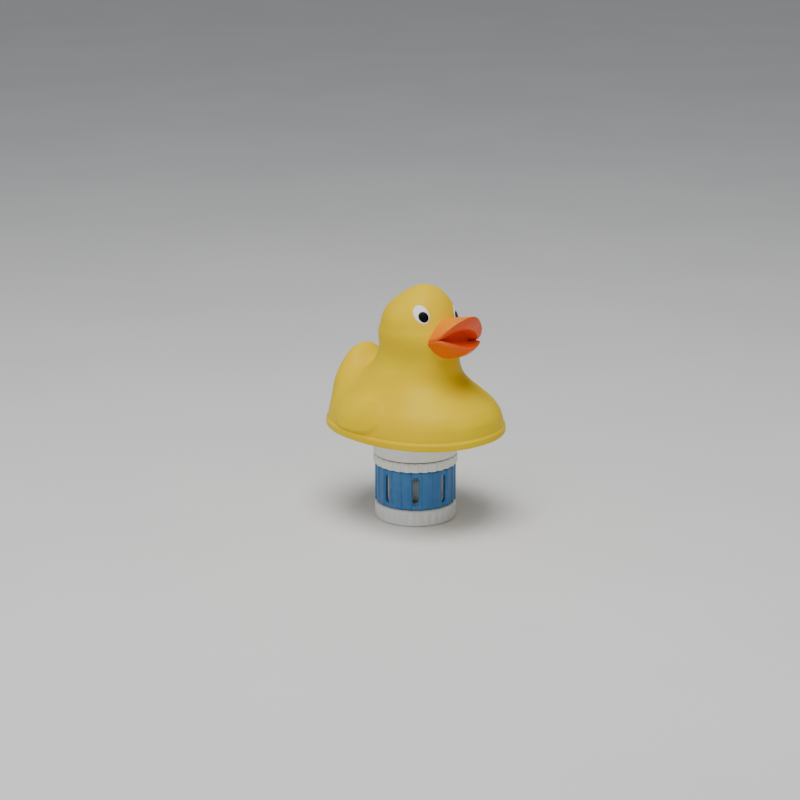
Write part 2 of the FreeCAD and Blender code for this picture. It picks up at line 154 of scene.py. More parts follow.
@dataclass(frozen=True)
class Course:
    """A smooth value along a list of stations, with no overshoot between them."""

    places: tuple[float, ...]
    values: tuple[float, ...]

    def slopes(self) -> Points:
        """The slope at each station, level where the values turn.

        Returns:
            One slope for each station.
        """
        step = np.diff(self.places)
        rate = np.diff(self.values) / step
        slopes = np.concatenate([rate[:1], np.zeros(len(rate) - 1), rate[-1:]])
        for i in range(1, len(rate)):
            if rate[i - 1] * rate[i] > 0.0:
                first, second = 2.0 * step[i] + step[i - 1], step[i] + 2.0 * step[i - 1]
                slopes[i] = (first + second) / (first / rate[i - 1] + second / rate[i])
        return slopes

    def at(self, place: Points) -> Points:
        """The value at any place, held level beyond the ends.

        Args:
            place: Places along the stations.

        Returns:
            One value for each place.
        """
        places, values, slopes = np.asarray(self.places), np.asarray(self.values), self.slopes()
        place = np.clip(place, places[0], places[-1])
        i = np.clip(np.searchsorted(places, place, side="right") - 1, 0, len(places) - 2)
        step = np.diff(places)[i]
        t = (place - places[i]) / step
        left = values[i] * (1 + 2 * t) * (1 - t) ** 2 + slopes[i] * step * t * (1 - t) ** 2
        right = values[i + 1] * t * t * (3 - 2 * t) + slopes[i + 1] * step * t * t * (t - 1)
        return left + right


def settle(
    shape: Field, points: Points, rounds: int = 4, probe: float = 0.05, stride: float = 0.8,
) -> Points:
    """Moves points on to an implicit surface.

    Args:
        shape: The implicit shape.
        points: Points near its surface.
        rounds: How many steps each point takes.
        probe: Spacing for the slope, in millimetres.
        stride: The longest step, in millimetres.

    Returns:
        The moved points.
    """
    for _ in range(rounds):
        slope = gradient(shape, points, probe)
        step = -(shape(points) / np.maximum((slope**2).sum(1), 1e-6))[:, None] * slope
        length = np.linalg.norm(step, axis=1)
        points = points + step * np.minimum(1.0, stride / np.maximum(length, 1e-9))[:, None]
    return points


def gradient(shape: Field, points: Points, probe: float = 0.05) -> Points:
    """The slope of an implicit shape at each point.

    Args:
        shape: The implicit shape.
        points: Where the slope is wanted.
        probe: Spacing for the slope, in millimetres.

    Returns:
        One vector for each point.
    """
    slope = np.zeros_like(points)
    for axis in range(3):
        offset = np.zeros(3)
        offset[axis] = probe
        slope[:, axis] = (shape(points + offset) - shape(points - offset)) / (2.0 * probe)
    return slope


def net_cells(inside: np.ndarray, values: np.ndarray) -> tuple[np.ndarray, Points]:
    """Finds the grid cells that a surface crosses, and where it lies in each.

    Args:
        inside: True at the grid points inside the shape.
        values: The shape's distance at each grid point.

    Returns:
        A number for each cell, -1 where the surface misses it, and the surface's place as grid steps.
    """
    shape = tuple(n - 1 for n in inside.shape)
    corners = [(i, j, k) for i in (0, 1) for j in (0, 1) for k in (0, 1)]
    count = sum(inside[i:i + shape[0], j:j + shape[1], k:k + shape[2]].astype(int) for i, j, k in corners)
    crossed = (count > 0) & (count < 8)
    cells = np.argwhere(crossed)
    number = np.full(shape, -1)
    number[crossed] = np.arange(len(cells))
    total, hits = np.zeros((len(cells), 3)), np.zeros(len(cells))
    for a in corners:
        for b in corners:
            if a < b and sum(abs(x - y) for x, y in zip(a, b)) == 1:
                low, high = values[tuple((cells + a).T)], values[tuple((cells + b).T)]
                cut = (low < 0) != (high < 0)
                share = np.where(cut, low / np.where(cut, low - high, 1.0), 0.0)
                place = np.asarray(a) + (np.asarray(b) - np.asarray(a)) * share[:, None]
                total += np.where(cut[:, None], place, 0.0)
                hits += cut
    return number, cells + total / hits[:, None]


def net_faces(inside: np.ndarray, number: np.ndarray) -> Quads:
    """One quad, facing outward, round each grid edge that the surface crosses.

    Args:
        inside: True at the grid points inside the shape.
        number: Each cell's number, from net_cells.

    Returns:
        The quads, as cell numbers.
    """
    size = inside.shape
    faces = []
    for axis in range(3):
        across = [i for i in range(3) if i != axis]
        low = inside[tuple(slice(0, -1) if i == axis else slice(1, size[i] - 1) for i in range(3))]
        high = inside[tuple(slice(1, None) if i == axis else slice(1, size[i] - 1) for i in range(3))]
        edges = np.argwhere(low != high)
        cells = edges.copy()
        cells[:, across] += 1
        ring = []
        for back in ((1, 1), (0, 1), (0, 0), (1, 0)):
            corner = cells.copy()
            corner[:, across[0]] -= back[0]
            corner[:, across[1]] -= back[1]
            ring.append(number[tuple(corner.T)])
        quads = np.stack(ring, 1)
        outward = low[tuple(edges.T)] if axis != 1 else ~low[tuple(edges.T)]
        quads[~outward] = quads[~outward][:, ::-1]
        faces.append(quads)
    return np.concatenate(faces)


def surface_net(
    shape: Field, axes: Sequence[Points], place: Field | None = None, twin_layer: int | None = None,
) -> tuple[Points, Quads]:
    """Meshes an implicit shape on a grid whose spacing may vary.

    Args:
        shape: The implicit shape.
        axes: The grid's coordinates along its three directions.
        place: Turns grid coordinates into places, for a grid that isn't square.
        twin_layer: The layer of cells, along the second direction, that repeats the first layer.

    Returns:
        Points on the surface, and quads that face outward.
    """
    place = place or np.asarray
    grid = np.stack(np.meshgrid(*axes, indexing="ij"), -1)
    values = np.stack([shape(place(layer)) for layer in grid])
    inside = values < 0
    number, steps = net_cells(inside, values)
    points = np.stack([np.interp(steps[:, i], np.arange(len(axes[i])), axes[i]) for i in range(3)], 1)
    quads = net_faces(inside, number)
    if twin_layer is not None:
        layer = np.argwhere(number >= 0)[:, 1]
        quads = quads[~(layer[quads] == twin_layer).all(1)]
    return settle(shape, place(points)), quads


def polar(grid: Points) -> Points:
    """Places in the frame, in millimetres, from radius, degrees and height."""
    turn = np.radians(grid[..., 1])
    return np.stack([grid[..., 0] * np.cos(turn), grid[..., 0] * np.sin(turn), grid[..., 2]], -1)


def spaced(*stretches: tuple[float, float, float]) -> Points:
    """Grid coordinates from stretches of (start, end, step), each ending where the next starts."""
    parts = [np.arange(start, end - step * 0.25, step) for start, end, step in stretches]
    return np.concatenate(parts + [[stretches[-1][1]]])


# --- Meshes -------------------------------------------------------------------------------------


def mesh_piece(
    name: str, points: Points, faces: Iterable[Sequence[int]], smooth: bool = True,
) -> bpy.types.Object:
    """Makes an object from points in millimetres, in the frame's own directions.

    Args:
        name: The piece's name.
        points: Its points.
        faces: Its faces as point numbers, facing outward.
        smooth: Whether its faces are shaded smooth.

    Returns:
        The new object, at the origin.
    """
    mesh = bpy.data.meshes.new(name)
    mesh.from_pydata((np.asarray(points) * MM).tolist(), [], [list(face) for face in faces])
    mesh.update()
    mesh.polygons.foreach_set("use_smooth", [smooth] * len(mesh.polygons))
    piece = bpy.data.objects.new(name, mesh)
    bpy.context.scene.collection.objects.link(piece)
    return piece


def add_mask(piece: bpy.types.Object, name: str, values: Points) -> None:
    """Stores one number a point, for the piece's finish to read."""
    attribute = piece.data.attributes.new(name, "FLOAT", "POINT")
    attribute.data.foreach_set("value", np.asarray(values, np.float32))


def evaluated_copy(piece: bpy.types.Object) -> None:
    """Applies every modifier on a piece, and removes them.

    Args:
        piece: The piece, whose mesh is replaced.
    """
    bpy.context.view_layer.update()
    mesh = bpy.data.meshes.new_from_object(piece.evaluated_get(bpy.context.evaluated_depsgraph_get()))
    piece.modifiers.clear()
    piece.data = mesh


def close_middle(piece: bpy.types.Object) -> None:
    """Closes the flat openings in a ring's middle, where its grid starts off the axis.

    Args:
        piece: The piece, whose mesh is changed.
    """
    mesh = bmesh.new()
    mesh.from_mesh(piece.data)
    bmesh.ops.holes_fill(mesh, edges=[edge for edge in mesh.edges if edge.is_boundary], sides=0)
    bmesh.ops.recalc_face_normals(mesh, faces=mesh.faces)
    mesh.to_mesh(piece.data)
    mesh.free()


class RingOfCopies:
    """A Geometry Nodes tree that repeats a piece round the canister's axis."""

    TREE = "ring_of_copies"
    WELD = 2e-6

    @classmethod
    def tree(cls) -> bpy.types.NodeTree:
        """The shared tree, made on first use.

        Returns:
            The tree, whose inputs are named for what they set.
        """
        if cls.TREE in bpy.data.node_groups:
            return bpy.data.node_groups[cls.TREE]
        tree = bpy.data.node_groups.new(cls.TREE, "GeometryNodeTree")
        sockets = (
            ("Piece", "NodeSocketGeometry", None), ("Count", "NodeSocketInt", 8),
            ("First Turn", "NodeSocketFloat", 0.0), ("Weld", "NodeSocketFloat", cls.WELD),
            ("Finish", "NodeSocketMaterial", None),
        )
        for name, kind, default in sockets:
            socket = tree.interface.new_socket(name, in_out="INPUT", socket_type=kind)
            if default is not None:
                socket.default_value = default
        tree.interface.new_socket("Ring", in_out="OUTPUT", socket_type="NodeSocketGeometry")
        add, link = tree.nodes.new, tree.links.new
        given, result = add("NodeGroupInput"), add("NodeGroupOutput")
        places, place = add("GeometryNodePoints"), add("GeometryNodeInstanceOnPoints")
        index, step, turn = add("GeometryNodeInputIndex"), add("ShaderNodeMath"), add("ShaderNodeMath")
        angle, rotation = add("ShaderNodeMath"), add("ShaderNodeCombineXYZ")
        realize, weld = add("GeometryNodeRealizeInstances"), add("GeometryNodeMergeByDistance")
        coat = add("GeometryNodeSetMaterial")
        step.operation, turn.operation, angle.operation = "DIVIDE", "MULTIPLY", "ADD"
        step.inputs[0].default_value = 2.0 * math.pi
        link(given.outputs["Count"], places.inputs["Count"])
        link(given.outputs["Count"], step.inputs[1])
        link(index.outputs[0], turn.inputs[0])
        link(step.outputs[0], turn.inputs[1])
        link(turn.outputs[0], angle.inputs[0])
        link(given.outputs["First Turn"], angle.inputs[1])
        link(angle.outputs[0], rotation.inputs["Z"])
        link(places.outputs[0], place.inputs["Points"])
        link(given.outputs["Piece"], place.inputs["Instance"])
        link(rotation.outputs[0], place.inputs["Rotation"])
        link(place.outputs[0], realize.inputs[0])
        link(realize.outputs[0], weld.inputs["Geometry"])
        link(given.outputs["Weld"], weld.inputs["Distance"])
        link(weld.outputs[0], coat.inputs["Geometry"])
        link(given.outputs["Finish"], coat.inputs["Material"])
        link(coat.outputs[0], result.inputs[0])
        return tree

    @classmethod
    def apply(
        cls, piece: bpy.types.Object, count: int, finish: bpy.types.Material, first_turn: float = 0.0,
    ) -> None:
        """Repeats a piece round the axis and makes the result plain mesh.

        Args:
            piece: The piece that is repeated, standing where its first copy goes.
            count: How many copies the ring has.
            finish: The material that every copy takes.
            first_turn: How far the first copy is turned, in radians.
        """
        dress(piece, finish)
        modifier = piece.modifiers.new("ring", "NODES")
        modifier.node_group = cls.tree()
        values = {"Count": count, "First Turn": first_turn, "Weld": cls.WELD, "Finish": finish}
        for socket in modifier.node_group.interface.items_tree:
            if socket.in_out == "INPUT" and socket.name in values:
                modifier[socket.identifier] = values[socket.name]
        evaluated_copy(piece)


def finish_piece(piece: bpy.types.Object, body: Body, slot: Slot, *nodes: str) -> bpy.types.Object:
    """Puts a finished piece on its body, and hides the frame's nodes that it stands for.

    Args:
        piece: The piece.
        body: The body that it moves with.
        slot: Its material slot; not used.
        nodes: The names of the nodes that it stands for.

    Returns:
        The same piece.
    """
    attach(piece, body.value)
    if nodes:
        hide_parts(*nodes)
    LOG.info("%s: %d faces on %s", piece.name, len(piece.data.polygons), body.value)
    return piece


# --- Finishes -----------------------------------------------------------------------------------


class Recipe:
    """A node material under construction, on the piece's own Object coordinates in metres."""

    def __init__(self, name: str) -> None:
        """Starts a material with one Principled shader.

        Args:
            name: The material's name.
        """
        self.material = bpy.data.materials.new(name)
        self.material.use_nodes = True
        self.tree = self.material.node_tree
        self.shader = self.tree.nodes["Principled BSDF"]
        self.place = self.tree.nodes.new("ShaderNodeTexCoord").outputs["Object"]

    def plain(self, **values: object) -> None:
        """Sets the shader's own sockets: each word is a socket's name with _ for a space."""
        for name, value in values.items():
            self.shader.inputs[name.replace("_", " ")].default_value = value

    def mottle(self, size: float, detail: float = 2.0, roughness: float = 0.5) -> bpy.types.NodeSocket:
        """Noise from 0 to 1 whose blotches are about size millimetres.

        Args:
            size: How wide its blotches are, in millimetres.
            detail: How many finer layers it has.
            roughness: How strong they are.

        Returns:
            The noise.
        """
        noise = self.tree.nodes.new("ShaderNodeTexNoise")
        noise.inputs["Scale"].default_value = 1.0 / (size * MM)
        noise.inputs["Detail"].default_value = detail
        noise.inputs["Roughness"].default_value = roughness
        self.tree.links.new(self.place, noise.inputs["Vector"])
        return noise.outputs[0]

    def mask(self, name: str) -> bpy.types.NodeSocket:
        """One of the piece's stored masks.

        Args:
            name: The mask's name.

        Returns:
            The mask's value.
        """
        attribute = self.tree.nodes.new("ShaderNodeAttribute")
        attribute.attribute_name = name
        return attribute.outputs["Fac"]

    def spread(
        self, value: bpy.types.NodeSocket, low: float, high: float, start: float = 0.0, end: float = 1.0,
    ) -> bpy.types.NodeSocket:
        """Maps a value smoothly from one span to another.

        Args:
            value: The value, such as a mottle.
            low: Where the first span starts.
            high: Where the first span ends.
            start: What low becomes.
            end: What high becomes.

        Returns:
            The mapped value.
        """
        ramp = self.tree.nodes.new("ShaderNodeMapRange")
        ramp.interpolation_type = "SMOOTHSTEP"
        for socket, number in zip(("From Min", "From Max", "To Min", "To Max"), (low, high, start, end)):
            ramp.inputs[socket].default_value = number
        self.tree.links.new(value, ramp.inputs["Value"])
        return ramp.outputs[0]

    def between(
        self, share: bpy.types.NodeSocket, first: bpy.types.NodeSocket | Sequence[float],
        second: bpy.types.NodeSocket | Sequence[float],
    ) -> bpy.types.NodeSocket:
        """Blends two colours by share, from 0 for the first to 1 for the second.

        Args:
            share: How much of the second shows.
            first: The first colour.
            second: The second colour.

        Returns:
            The blended colour.
        """
        mix = self.tree.nodes.new("ShaderNodeMix")
        mix.data_type = "RGBA"
        self.tree.links.new(share, mix.inputs[0])
        for socket, colour in ((mix.inputs[6], first), (mix.inputs[7], second)):
            if isinstance(colour, bpy.types.NodeSocket):
                self.tree.links.new(colour, socket)
            else:
                socket.default_value = (*colour, 1.0)
        return mix.outputs[2]

    def colour(self, value: bpy.types.NodeSocket) -> None:
        """Sends a colour to the shader."""
        self.tree.links.new(value, self.shader.inputs["Base Color"])

    def gloss(self, value: bpy.types.NodeSocket) -> None:
        """Sends a roughness to the shader."""
        self.tree.links.new(value, self.shader.inputs["Roughness"])

    def relief(self, *layers: tuple[bpy.types.NodeSocket, float, float]) -> None:
        """Stacks bump layers, each (height, strength, distance in millimetres).

        Args:
            layers: The layers, from the lowest up.
        """
        normal = None
        for height, strength, distance in layers:
            bump = self.tree.nodes.new("ShaderNodeBump")
            bump.inputs["Strength"].default_value = strength
            bump.inputs["Distance"].default_value = distance * MM
            self.tree.links.new(height, bump.inputs["Height"])
            if normal is not None:
                self.tree.links.new(normal, bump.inputs["Normal"])
            normal = bump.outputs[0]
        self.tree.links.new(normal, self.shader.inputs["Normal"])


@dataclass(frozen=True)
class SoftVinyl:
    """Satin soft vinyl: warm yellow, slightly translucent, with a faint skin from the mould, and broad
    random blotches of painted light and painted shade.
    """

    # The two yellows are the vinyl as lit and as shaded: painted light and painted shade.
    lit: tuple[float, float, float] = (0.87, 0.625, 0.0)
    shaded_yellow: tuple[float, float, float] = (0.84, 0.555, 0.0)
    blotch_size: float = 26.0
    handled_size: float = 9.0
    wave_size: float = 7.0
    skin_size: float = 0.55
    roughness: tuple[float, float] = (0.4, 0.48)

    def material(self) -> bpy.types.Material:
        """The finish as a material.

        Returns:
            The material.
        """
        recipe = Recipe("soft_vinyl")
        recipe.plain(
            Subsurface_Weight=0.05, Subsurface_Radius=(1.0, 0.6, 0.05), Subsurface_Scale=1.2 * MM,
            Specular_IOR_Level=0.06, Coat_Weight=0.04, Coat_Roughness=0.13,
        )
        # Painted light and shade: the lit and the shaded yellow, mixed in random blotches.
        cloud = recipe.spread(recipe.mottle(self.blotch_size, 1.0), 0.3, 0.7)
        recipe.colour(recipe.between(cloud, self.lit, self.shaded_yellow))
        recipe.gloss(recipe.spread(recipe.mottle(self.handled_size, 3.0), 0.25, 0.75, *self.roughness))
        skin, waves = recipe.mottle(self.skin_size), recipe.mottle(self.wave_size, 1.0)
        recipe.relief((skin, 0.05, 0.05), (waves, 0.08, 0.12))
        return recipe.material


@dataclass(frozen=True)
class SprayedBill:
    """Sprayed orange paint: light on the bill's root, red on the lips, with a deeper red painted into the
    mouth's fold as painted shade.
    """

    root: tuple[float, float, float] = (0.93, 0.2, 0.004)
    root_top: tuple[float, float, float] = (0.95, 0.27, 0.0)
    under: tuple[float, float, float] = (0.8, 0.13, 0.0)
    lips: tuple[float, float, float] = (0.84, 0.095, 0.004)
    # fold: painted shade, the deeper red of the mouth's shaded back.
    fold: tuple[float, float, float] = (0.95, 0.08, 0.0)
    brush_size: float = 3.0
    grain_size: float = 0.35
    roughness: tuple[float, float] = (0.3, 0.42)

    def material(self) -> bpy.types.Material:
        """The finish as a material, which reads the masks root_height, under, lip and fold.

        Returns:
            The material.
        """
        recipe = Recipe("sprayed_bill")
        recipe.plain(
            Subsurface_Weight=0.12, Subsurface_Radius=(1.0, 0.35, 0.1), Subsurface_Scale=1.4 * MM,
            Specular_IOR_Level=0.2, Coat_Weight=0.14, Coat_Roughness=0.1,
        )
        root = recipe.between(recipe.mask("root_height"), self.root, self.root_top)
        root = recipe.between(recipe.mask("under"), root, self.under)
        lips = recipe.between(recipe.mask("lip"), root, self.lips)
        # Painted shade: the fold mask lays the deeper red into the back of the mouth.
        recipe.colour(recipe.between(recipe.mask("fold"), lips, self.fold))
        recipe.gloss(recipe.spread(recipe.mottle(self.brush_size, 3.0), 0.25, 0.75, *self.roughness))
        recipe.relief((recipe.mottle(self.grain_size), 0.08, 0.05))
        return recipe.material


@dataclass(frozen=True)
class PrintedPaint:
    """Thick printed paint, a little uneven."""

    name: str
    colour: tuple[float, float, float]
    edge: tuple[float, float, float]
    roughness: float
    uneven_size: float = 1.6
    gloss_size: float = 0.9
    grain_size: float = 0.5

    def material(self) -> bpy.types.Material:
        """The finish as a material.

        Returns:
            The material.
        """
        recipe = Recipe(self.name)
        recipe.plain(Specular_IOR_Level=0.12, Coat_Weight=0.04, Coat_Roughness=0.08)
        uneven = recipe.spread(recipe.mottle(self.uneven_size), 0.35, 0.75)
        recipe.colour(recipe.between(uneven, self.colour, self.edge))
        low, high = self.roughness * 0.85, self.roughness * 1.2
        recipe.gloss(recipe.spread(recipe.mottle(self.gloss_size), 0.2, 0.8, low, high))
        recipe.relief((recipe.mottle(self.grain_size), 0.06, 0.04))
        return recipe.material


@dataclass(frozen=True)
class MouldedPlastic:
    """Moulded pool plastic: a fine matt texture, and faint clouds of chalk from the water."""

    name: str
    colour: tuple[float, float, float]
    worn: tuple[float, float, float]
    roughness: float = 0.42
    chalk_size: float = 11.0
    gloss_size: float = 2.5
    grain_size: float = 0.22
    sink_size: float = 6.0

    def material(self) -> bpy.types.Material:
        """The finish as a material.

        Returns:
            The material.
        """
        recipe = Recipe(self.name)
        recipe.plain(Specular_IOR_Level=0.5, Subsurface_Weight=0.06, Subsurface_Scale=1.0 * MM)
        cloud = recipe.spread(recipe.mottle(self.chalk_size, 4.0, 0.6), 0.42, 0.72)
        recipe.colour(recipe.between(cloud, self.colour, self.worn))
        low, high = self.roughness * 0.85, self.roughness * 1.25
        recipe.gloss(recipe.spread(recipe.mottle(self.gloss_size, 4.0), 0.2, 0.8, low, high))
        grain, sinks = recipe.mottle(self.grain_size, 3.0), recipe.mottle(self.sink_size, 1.0)
        recipe.relief((grain, 0.16, 0.04), (sinks, 0.05, 0.1))
        return recipe.material


@dataclass(frozen=True)
class SealRubber:
    """Black moulded rubber with a dull bloom."""

    black: tuple[float, float, float] = (0.018, 0.018, 0.02)
    bloomed: tuple[float, float, float] = (0.05, 0.05, 0.052)
    roughness: tuple[float, float] = (0.55, 0.8)

    def material(self) -> bpy.types.Material:
        """The finish as a material.

        Returns:
            The material.
        """
        recipe = Recipe("seal_rubber")
        recipe.plain(Specular_IOR_Level=0.35)
        bloom = recipe.spread(recipe.mottle(3.5, 4.0), 0.4, 0.75)
        recipe.colour(recipe.between(bloom, self.black, self.bloomed))
        recipe.gloss(recipe.spread(recipe.mottle(1.5, 3.0), 0.2, 0.8, *self.roughness))
        recipe.relief((recipe.mottle(0.3, 3.0), 0.2, 0.05))
        return recipe.material


@dataclass(frozen=True)
class TurnedSteel:
    """Bright steel with fine turning lines round the canister's axis."""

    name: str
    colour: tuple[float, float, float]
    roughness: float
    dulled: float = 0.82
    line_scale: float = 900.0
    line_wander: float = 0.6

    def material(self) -> bpy.types.Material:
        """The finish as a material.

        Returns:
            The material.
        """
        recipe = Recipe(self.name)
        recipe.plain(Metallic=1.0)
        cloud = recipe.spread(recipe.mottle(2.0, 4.0), 0.3, 0.7)
        recipe.colour(recipe.between(cloud, self.colour, tuple(c * self.dulled for c in self.colour)))
        rings = recipe.tree.nodes.new("ShaderNodeTexWave")
        rings.wave_type, rings.rings_direction = "RINGS", "Z"
        rings.inputs["Scale"].default_value = self.line_scale
        rings.inputs["Distortion"].default_value = self.line_wander
        recipe.tree.links.new(recipe.place, rings.inputs["Vector"])
        low, high = self.roughness * 0.8, self.roughness * 1.3
        recipe.gloss(recipe.spread(recipe.mottle(1.2, 3.0), 0.2, 0.8, low, high))
        recipe.relief((rings.outputs["Fac"], 0.1, 0.02))
        return recipe.material


@dataclass(frozen=True)
class PressedChlorine:
    """Pressed chlorine: chalky white grains with tiny pits."""

    grains: tuple[float, float, float] = (0.9, 0.91, 0.88)
    gaps: tuple[float, float, float] = (0.78, 0.8, 0.76)
    grain_size: float = 0.8
    roughness: tuple[float, float] = (0.75, 0.95)

    def material(self) -> bpy.types.Material:
        """The finish as a material.

        Returns:
            The material.
        """
        recipe = Recipe("pressed_chlorine")
        recipe.plain(Specular_IOR_Level=0.3, Subsurface_Weight=0.1, Subsurface_Scale=0.8 * MM)
        grain = recipe.spread(recipe.mottle(self.grain_size, 5.0, 0.65), 0.35, 0.7)
        recipe.colour(recipe.between(grain, self.grains, self.gaps))
        recipe.gloss(recipe.spread(recipe.mottle(0.6, 3.0), 0.2, 0.8, *self.roughness))
        recipe.relief((recipe.mottle(0.45, 4.0, 0.7), 0.45, 0.12), (recipe.mottle(4.0, 2.0), 0.1, 0.25))
        return recipe.material


@dataclass(frozen=True)
class FloorCoat:
    """The plain pale floor."""

    pale: tuple[float, float, float] = (0.86, 0.86, 0.855)
    shaded: tuple[float, float, float] = (0.83, 0.83, 0.828)
    cloud_size: float = 160.0

    def material(self) -> bpy.types.Material:
        """The finish as a material.

        Returns:
            The material.
        """
        recipe = Recipe("floor_coat")
        recipe.plain(Roughness=0.62, Specular_IOR_Level=0.25)
        cloud = recipe.spread(recipe.mottle(self.cloud_size), 0.3, 0.7)
        recipe.colour(recipe.between(cloud, self.pale, self.shaded))
        return recipe.material


@dataclass
class Palette:
    """Every finish of the dispenser, made once."""

    vinyl: bpy.types.Material = field(default_factory=lambda: SoftVinyl().material())
    bill: bpy.types.Material = field(default_factory=lambda: SprayedBill().material())
    eye_white: bpy.types.Material = field(default_factory=lambda: PrintedPaint(
        "eye_white", (0.93, 0.93, 0.9), (0.86, 0.86, 0.82), 0.3).material())
    pupil: bpy.types.Material = field(default_factory=lambda: PrintedPaint(
        "pupil_black", (0.002, 0.002, 0.002), (0.005, 0.005, 0.005), 0.26).material())
    white: bpy.types.Material = field(default_factory=lambda: MouldedPlastic(
        "white_plastic", (0.83, 0.84, 0.83), (0.77, 0.78, 0.76)).material())
    blue: bpy.types.Material = field(default_factory=lambda: MouldedPlastic(
        "blue_plastic", (0.02, 0.16, 0.42), (0.035, 0.2, 0.47), 0.38).material())
    rubber: bpy.types.Material = field(default_factory=lambda: SealRubber().material())
    screw_steel: bpy.types.Material = field(default_factory=lambda: TurnedSteel(
        "screw_steel", (0.66, 0.66, 0.67), 0.24).material())
    zinc: bpy.types.Material = field(default_factory=lambda: TurnedSteel(
        "zinc_steel", (0.55, 0.57, 0.58), 0.36).material())
    chlorine: bpy.types.Material = field(default_factory=lambda: PressedChlorine().material())


def dress(piece: bpy.types.Object, finish: bpy.types.Material) -> bpy.types.Object:
    """Gives a piece one material all over.

    Args:
        piece: The piece.
        finish: Its material.

    Returns:
        The same piece.
    """
    piece.data.materials.clear()
    piece.data.materials.append(finish)
    return piece


# --- Duck ---------------------------------------------------------------------------------------


@dataclass
class DuckForm:
    """The duck as an implicit shape, in its own forward, left and up millimetres from its underside."""

    heights: tuple[float, ...] = (0.0, 5.0, 11.0, 17.0, 23.0, 28.0, 32.5, 37.0, 42.0, 48.0, 60.0)
    front: tuple[float, ...] = (54.5, 55.0, 54.3, 51.0, 43.4, 35.9, 31.2, 29.4, 29.2, 28.2, 25.0)
    back: tuple[float, ...] = (55.0, 55.2, 54.0, 50.5, 45.5, 39.5, 33.5, 28.5, 25.0, 22.0, 20.5)
    half_width: tuple[float, ...] = (46.0, 46.3, 45.0, 42.0, 36.5, 31.5, 27.9, 25.3, 23.0, 22.0, 21.5)
    neck_top: float = 60.0
    base_squareness: float = 0.25
    square_height: float = 40.0
    head: tuple[tuple[float, ...], tuple[float, ...]] = ((2.2, 0.0, 62.5), (23.6, 23.6, 21.0))
    crown: tuple[tuple[float, ...], tuple[float, ...]] = ((5.0, 0.0, 69.9), (15.4, 15.2, 17.8))
    cheeks: tuple[tuple[float, ...], tuple[float, ...]] = ((11.0, 0.0, 56.0), (17.0, 20.0, 12.0))
    tail: tuple[tuple[float, ...], tuple[float, ...]] = ((-45.2, 0.0, 20.8), (10.0, 19.0, 23.3))
    tail_pitch: float = -5.0
    crown_fillet: float = 6.0
    cheek_fillet: float = 6.0
    head_fillet: float = 6.0
    rump_fillet: float = 5.0
    tail_fillet: float = 8.0
    neck_round: float = 4.0
    base_round: float = 1.0
    rump: tuple[tuple[float, ...], tuple[float, ...]] = ((-36.0, 0.0, 14.0), (18.5, 29.0, 21.0))
    lean_degrees: float = 7.0
    lean_centre: tuple[float, float, float] = (2.5, 0.0, 50.0)
    rim_height: float = 4.6
    rim_proud: float = 1.1
    rim_level: float = 4.0
    rim_rounds: tuple[float, float] = (1.3, 1.2)
    rim_fillet: float = 0.5
    wing_middle: tuple[float, float] = (-7.0, 14.5)
    wing_half: tuple[float, float] = (20.0, 9.5)
    wing_proud: float = 1.15
    wing_power: float = 3.2
    wing_rise: float = 0.12
    wing_edge: tuple[float, float] = (0.86, 1.02)
    wing_fade: tuple[float, float] = (-30.0, -10.0)
    wing_least: float = 0.45
    wing_side: tuple[float, float] = (18.0, 26.0)

    def upright(self, points: Points) -> Points:
        """Points turned back into the head's own frame, where it doesn't lean.

        Args:
            points: Places as forward, left and up from the duck's underside, in millimetres.

        Returns:
            The turned points.
        """
        turn = math.radians(self.lean_degrees)
        local = points - np.asarray(self.lean_centre)
        left = local[..., 1] * math.cos(turn) - local[..., 2] * math.sin(turn)
        rise = local[..., 1] * math.sin(turn) + local[..., 2] * math.cos(turn)
        return np.stack([local[..., 0], left, rise], -1) + np.asarray(self.lean_centre)

    def leaning(self, points: Points) -> Points:
        """Points of the head's own frame, leaned with the head.

        Args:
            points: Places in the head's own frame, where it doesn't lean.

        Returns:
            The leaned points.
        """
        turn = math.radians(self.lean_degrees)
        local = points - np.asarray(self.lean_centre)
        left = local[..., 1] * math.cos(turn) + local[..., 2] * math.sin(turn)
        rise = local[..., 2] * math.cos(turn) - local[..., 1] * math.sin(turn)
        return np.stack([local[..., 0], left, rise], -1) + np.asarray(self.lean_centre)

    def torso(self, points: Points, grow: float = 0.0) -> Points:
        """The body's stations, with the underside and the top left open.

        Args:
            points: Places as forward, left and up from the duck's underside, in millimetres.
            grow: How much larger than the body it is, in millimetres.

        Returns:
            Negative inside the body.
        """
        forward, left = np.abs(points[..., 0]), np.abs(points[..., 1])
        height = np.clip(points[..., 2], 0.0, self.neck_top)
        front = Course(self.heights, self.front).at(height)
        back = Course(self.heights, self.back).at(height)
        long = np.where(points[..., 0] > 0.0, front, back) + grow
        wide = Course(self.heights, self.half_width).at(height) + grow
        power = 2.0 + self.base_squareness * np.clip(1.0 - height / self.square_height, 0.0, 1.0)
        share = ((forward / long) ** power + (left / wide) ** power) ** (1.0 / power)
        reach = np.hypot(forward, left) / np.maximum(share, 1e-3)
        return np.where(share < 1e-3, -20.0, (share - 1.0) * reach)

    def head_shape(self, points: Points) -> Points:
        """Head, crown and cheeks, leaning.

        Args:
            points: Places as forward, left and up from the duck's underside, in millimetres.

        Returns:
            Negative inside the head.
        """
        own = self.upright(points)
        shape = soft_min(ellipsoid(own, *self.head), ellipsoid(own, *self.crown), self.crown_fillet)
        return soft_min(shape, ellipsoid(own, *self.cheeks), self.cheek_fillet)

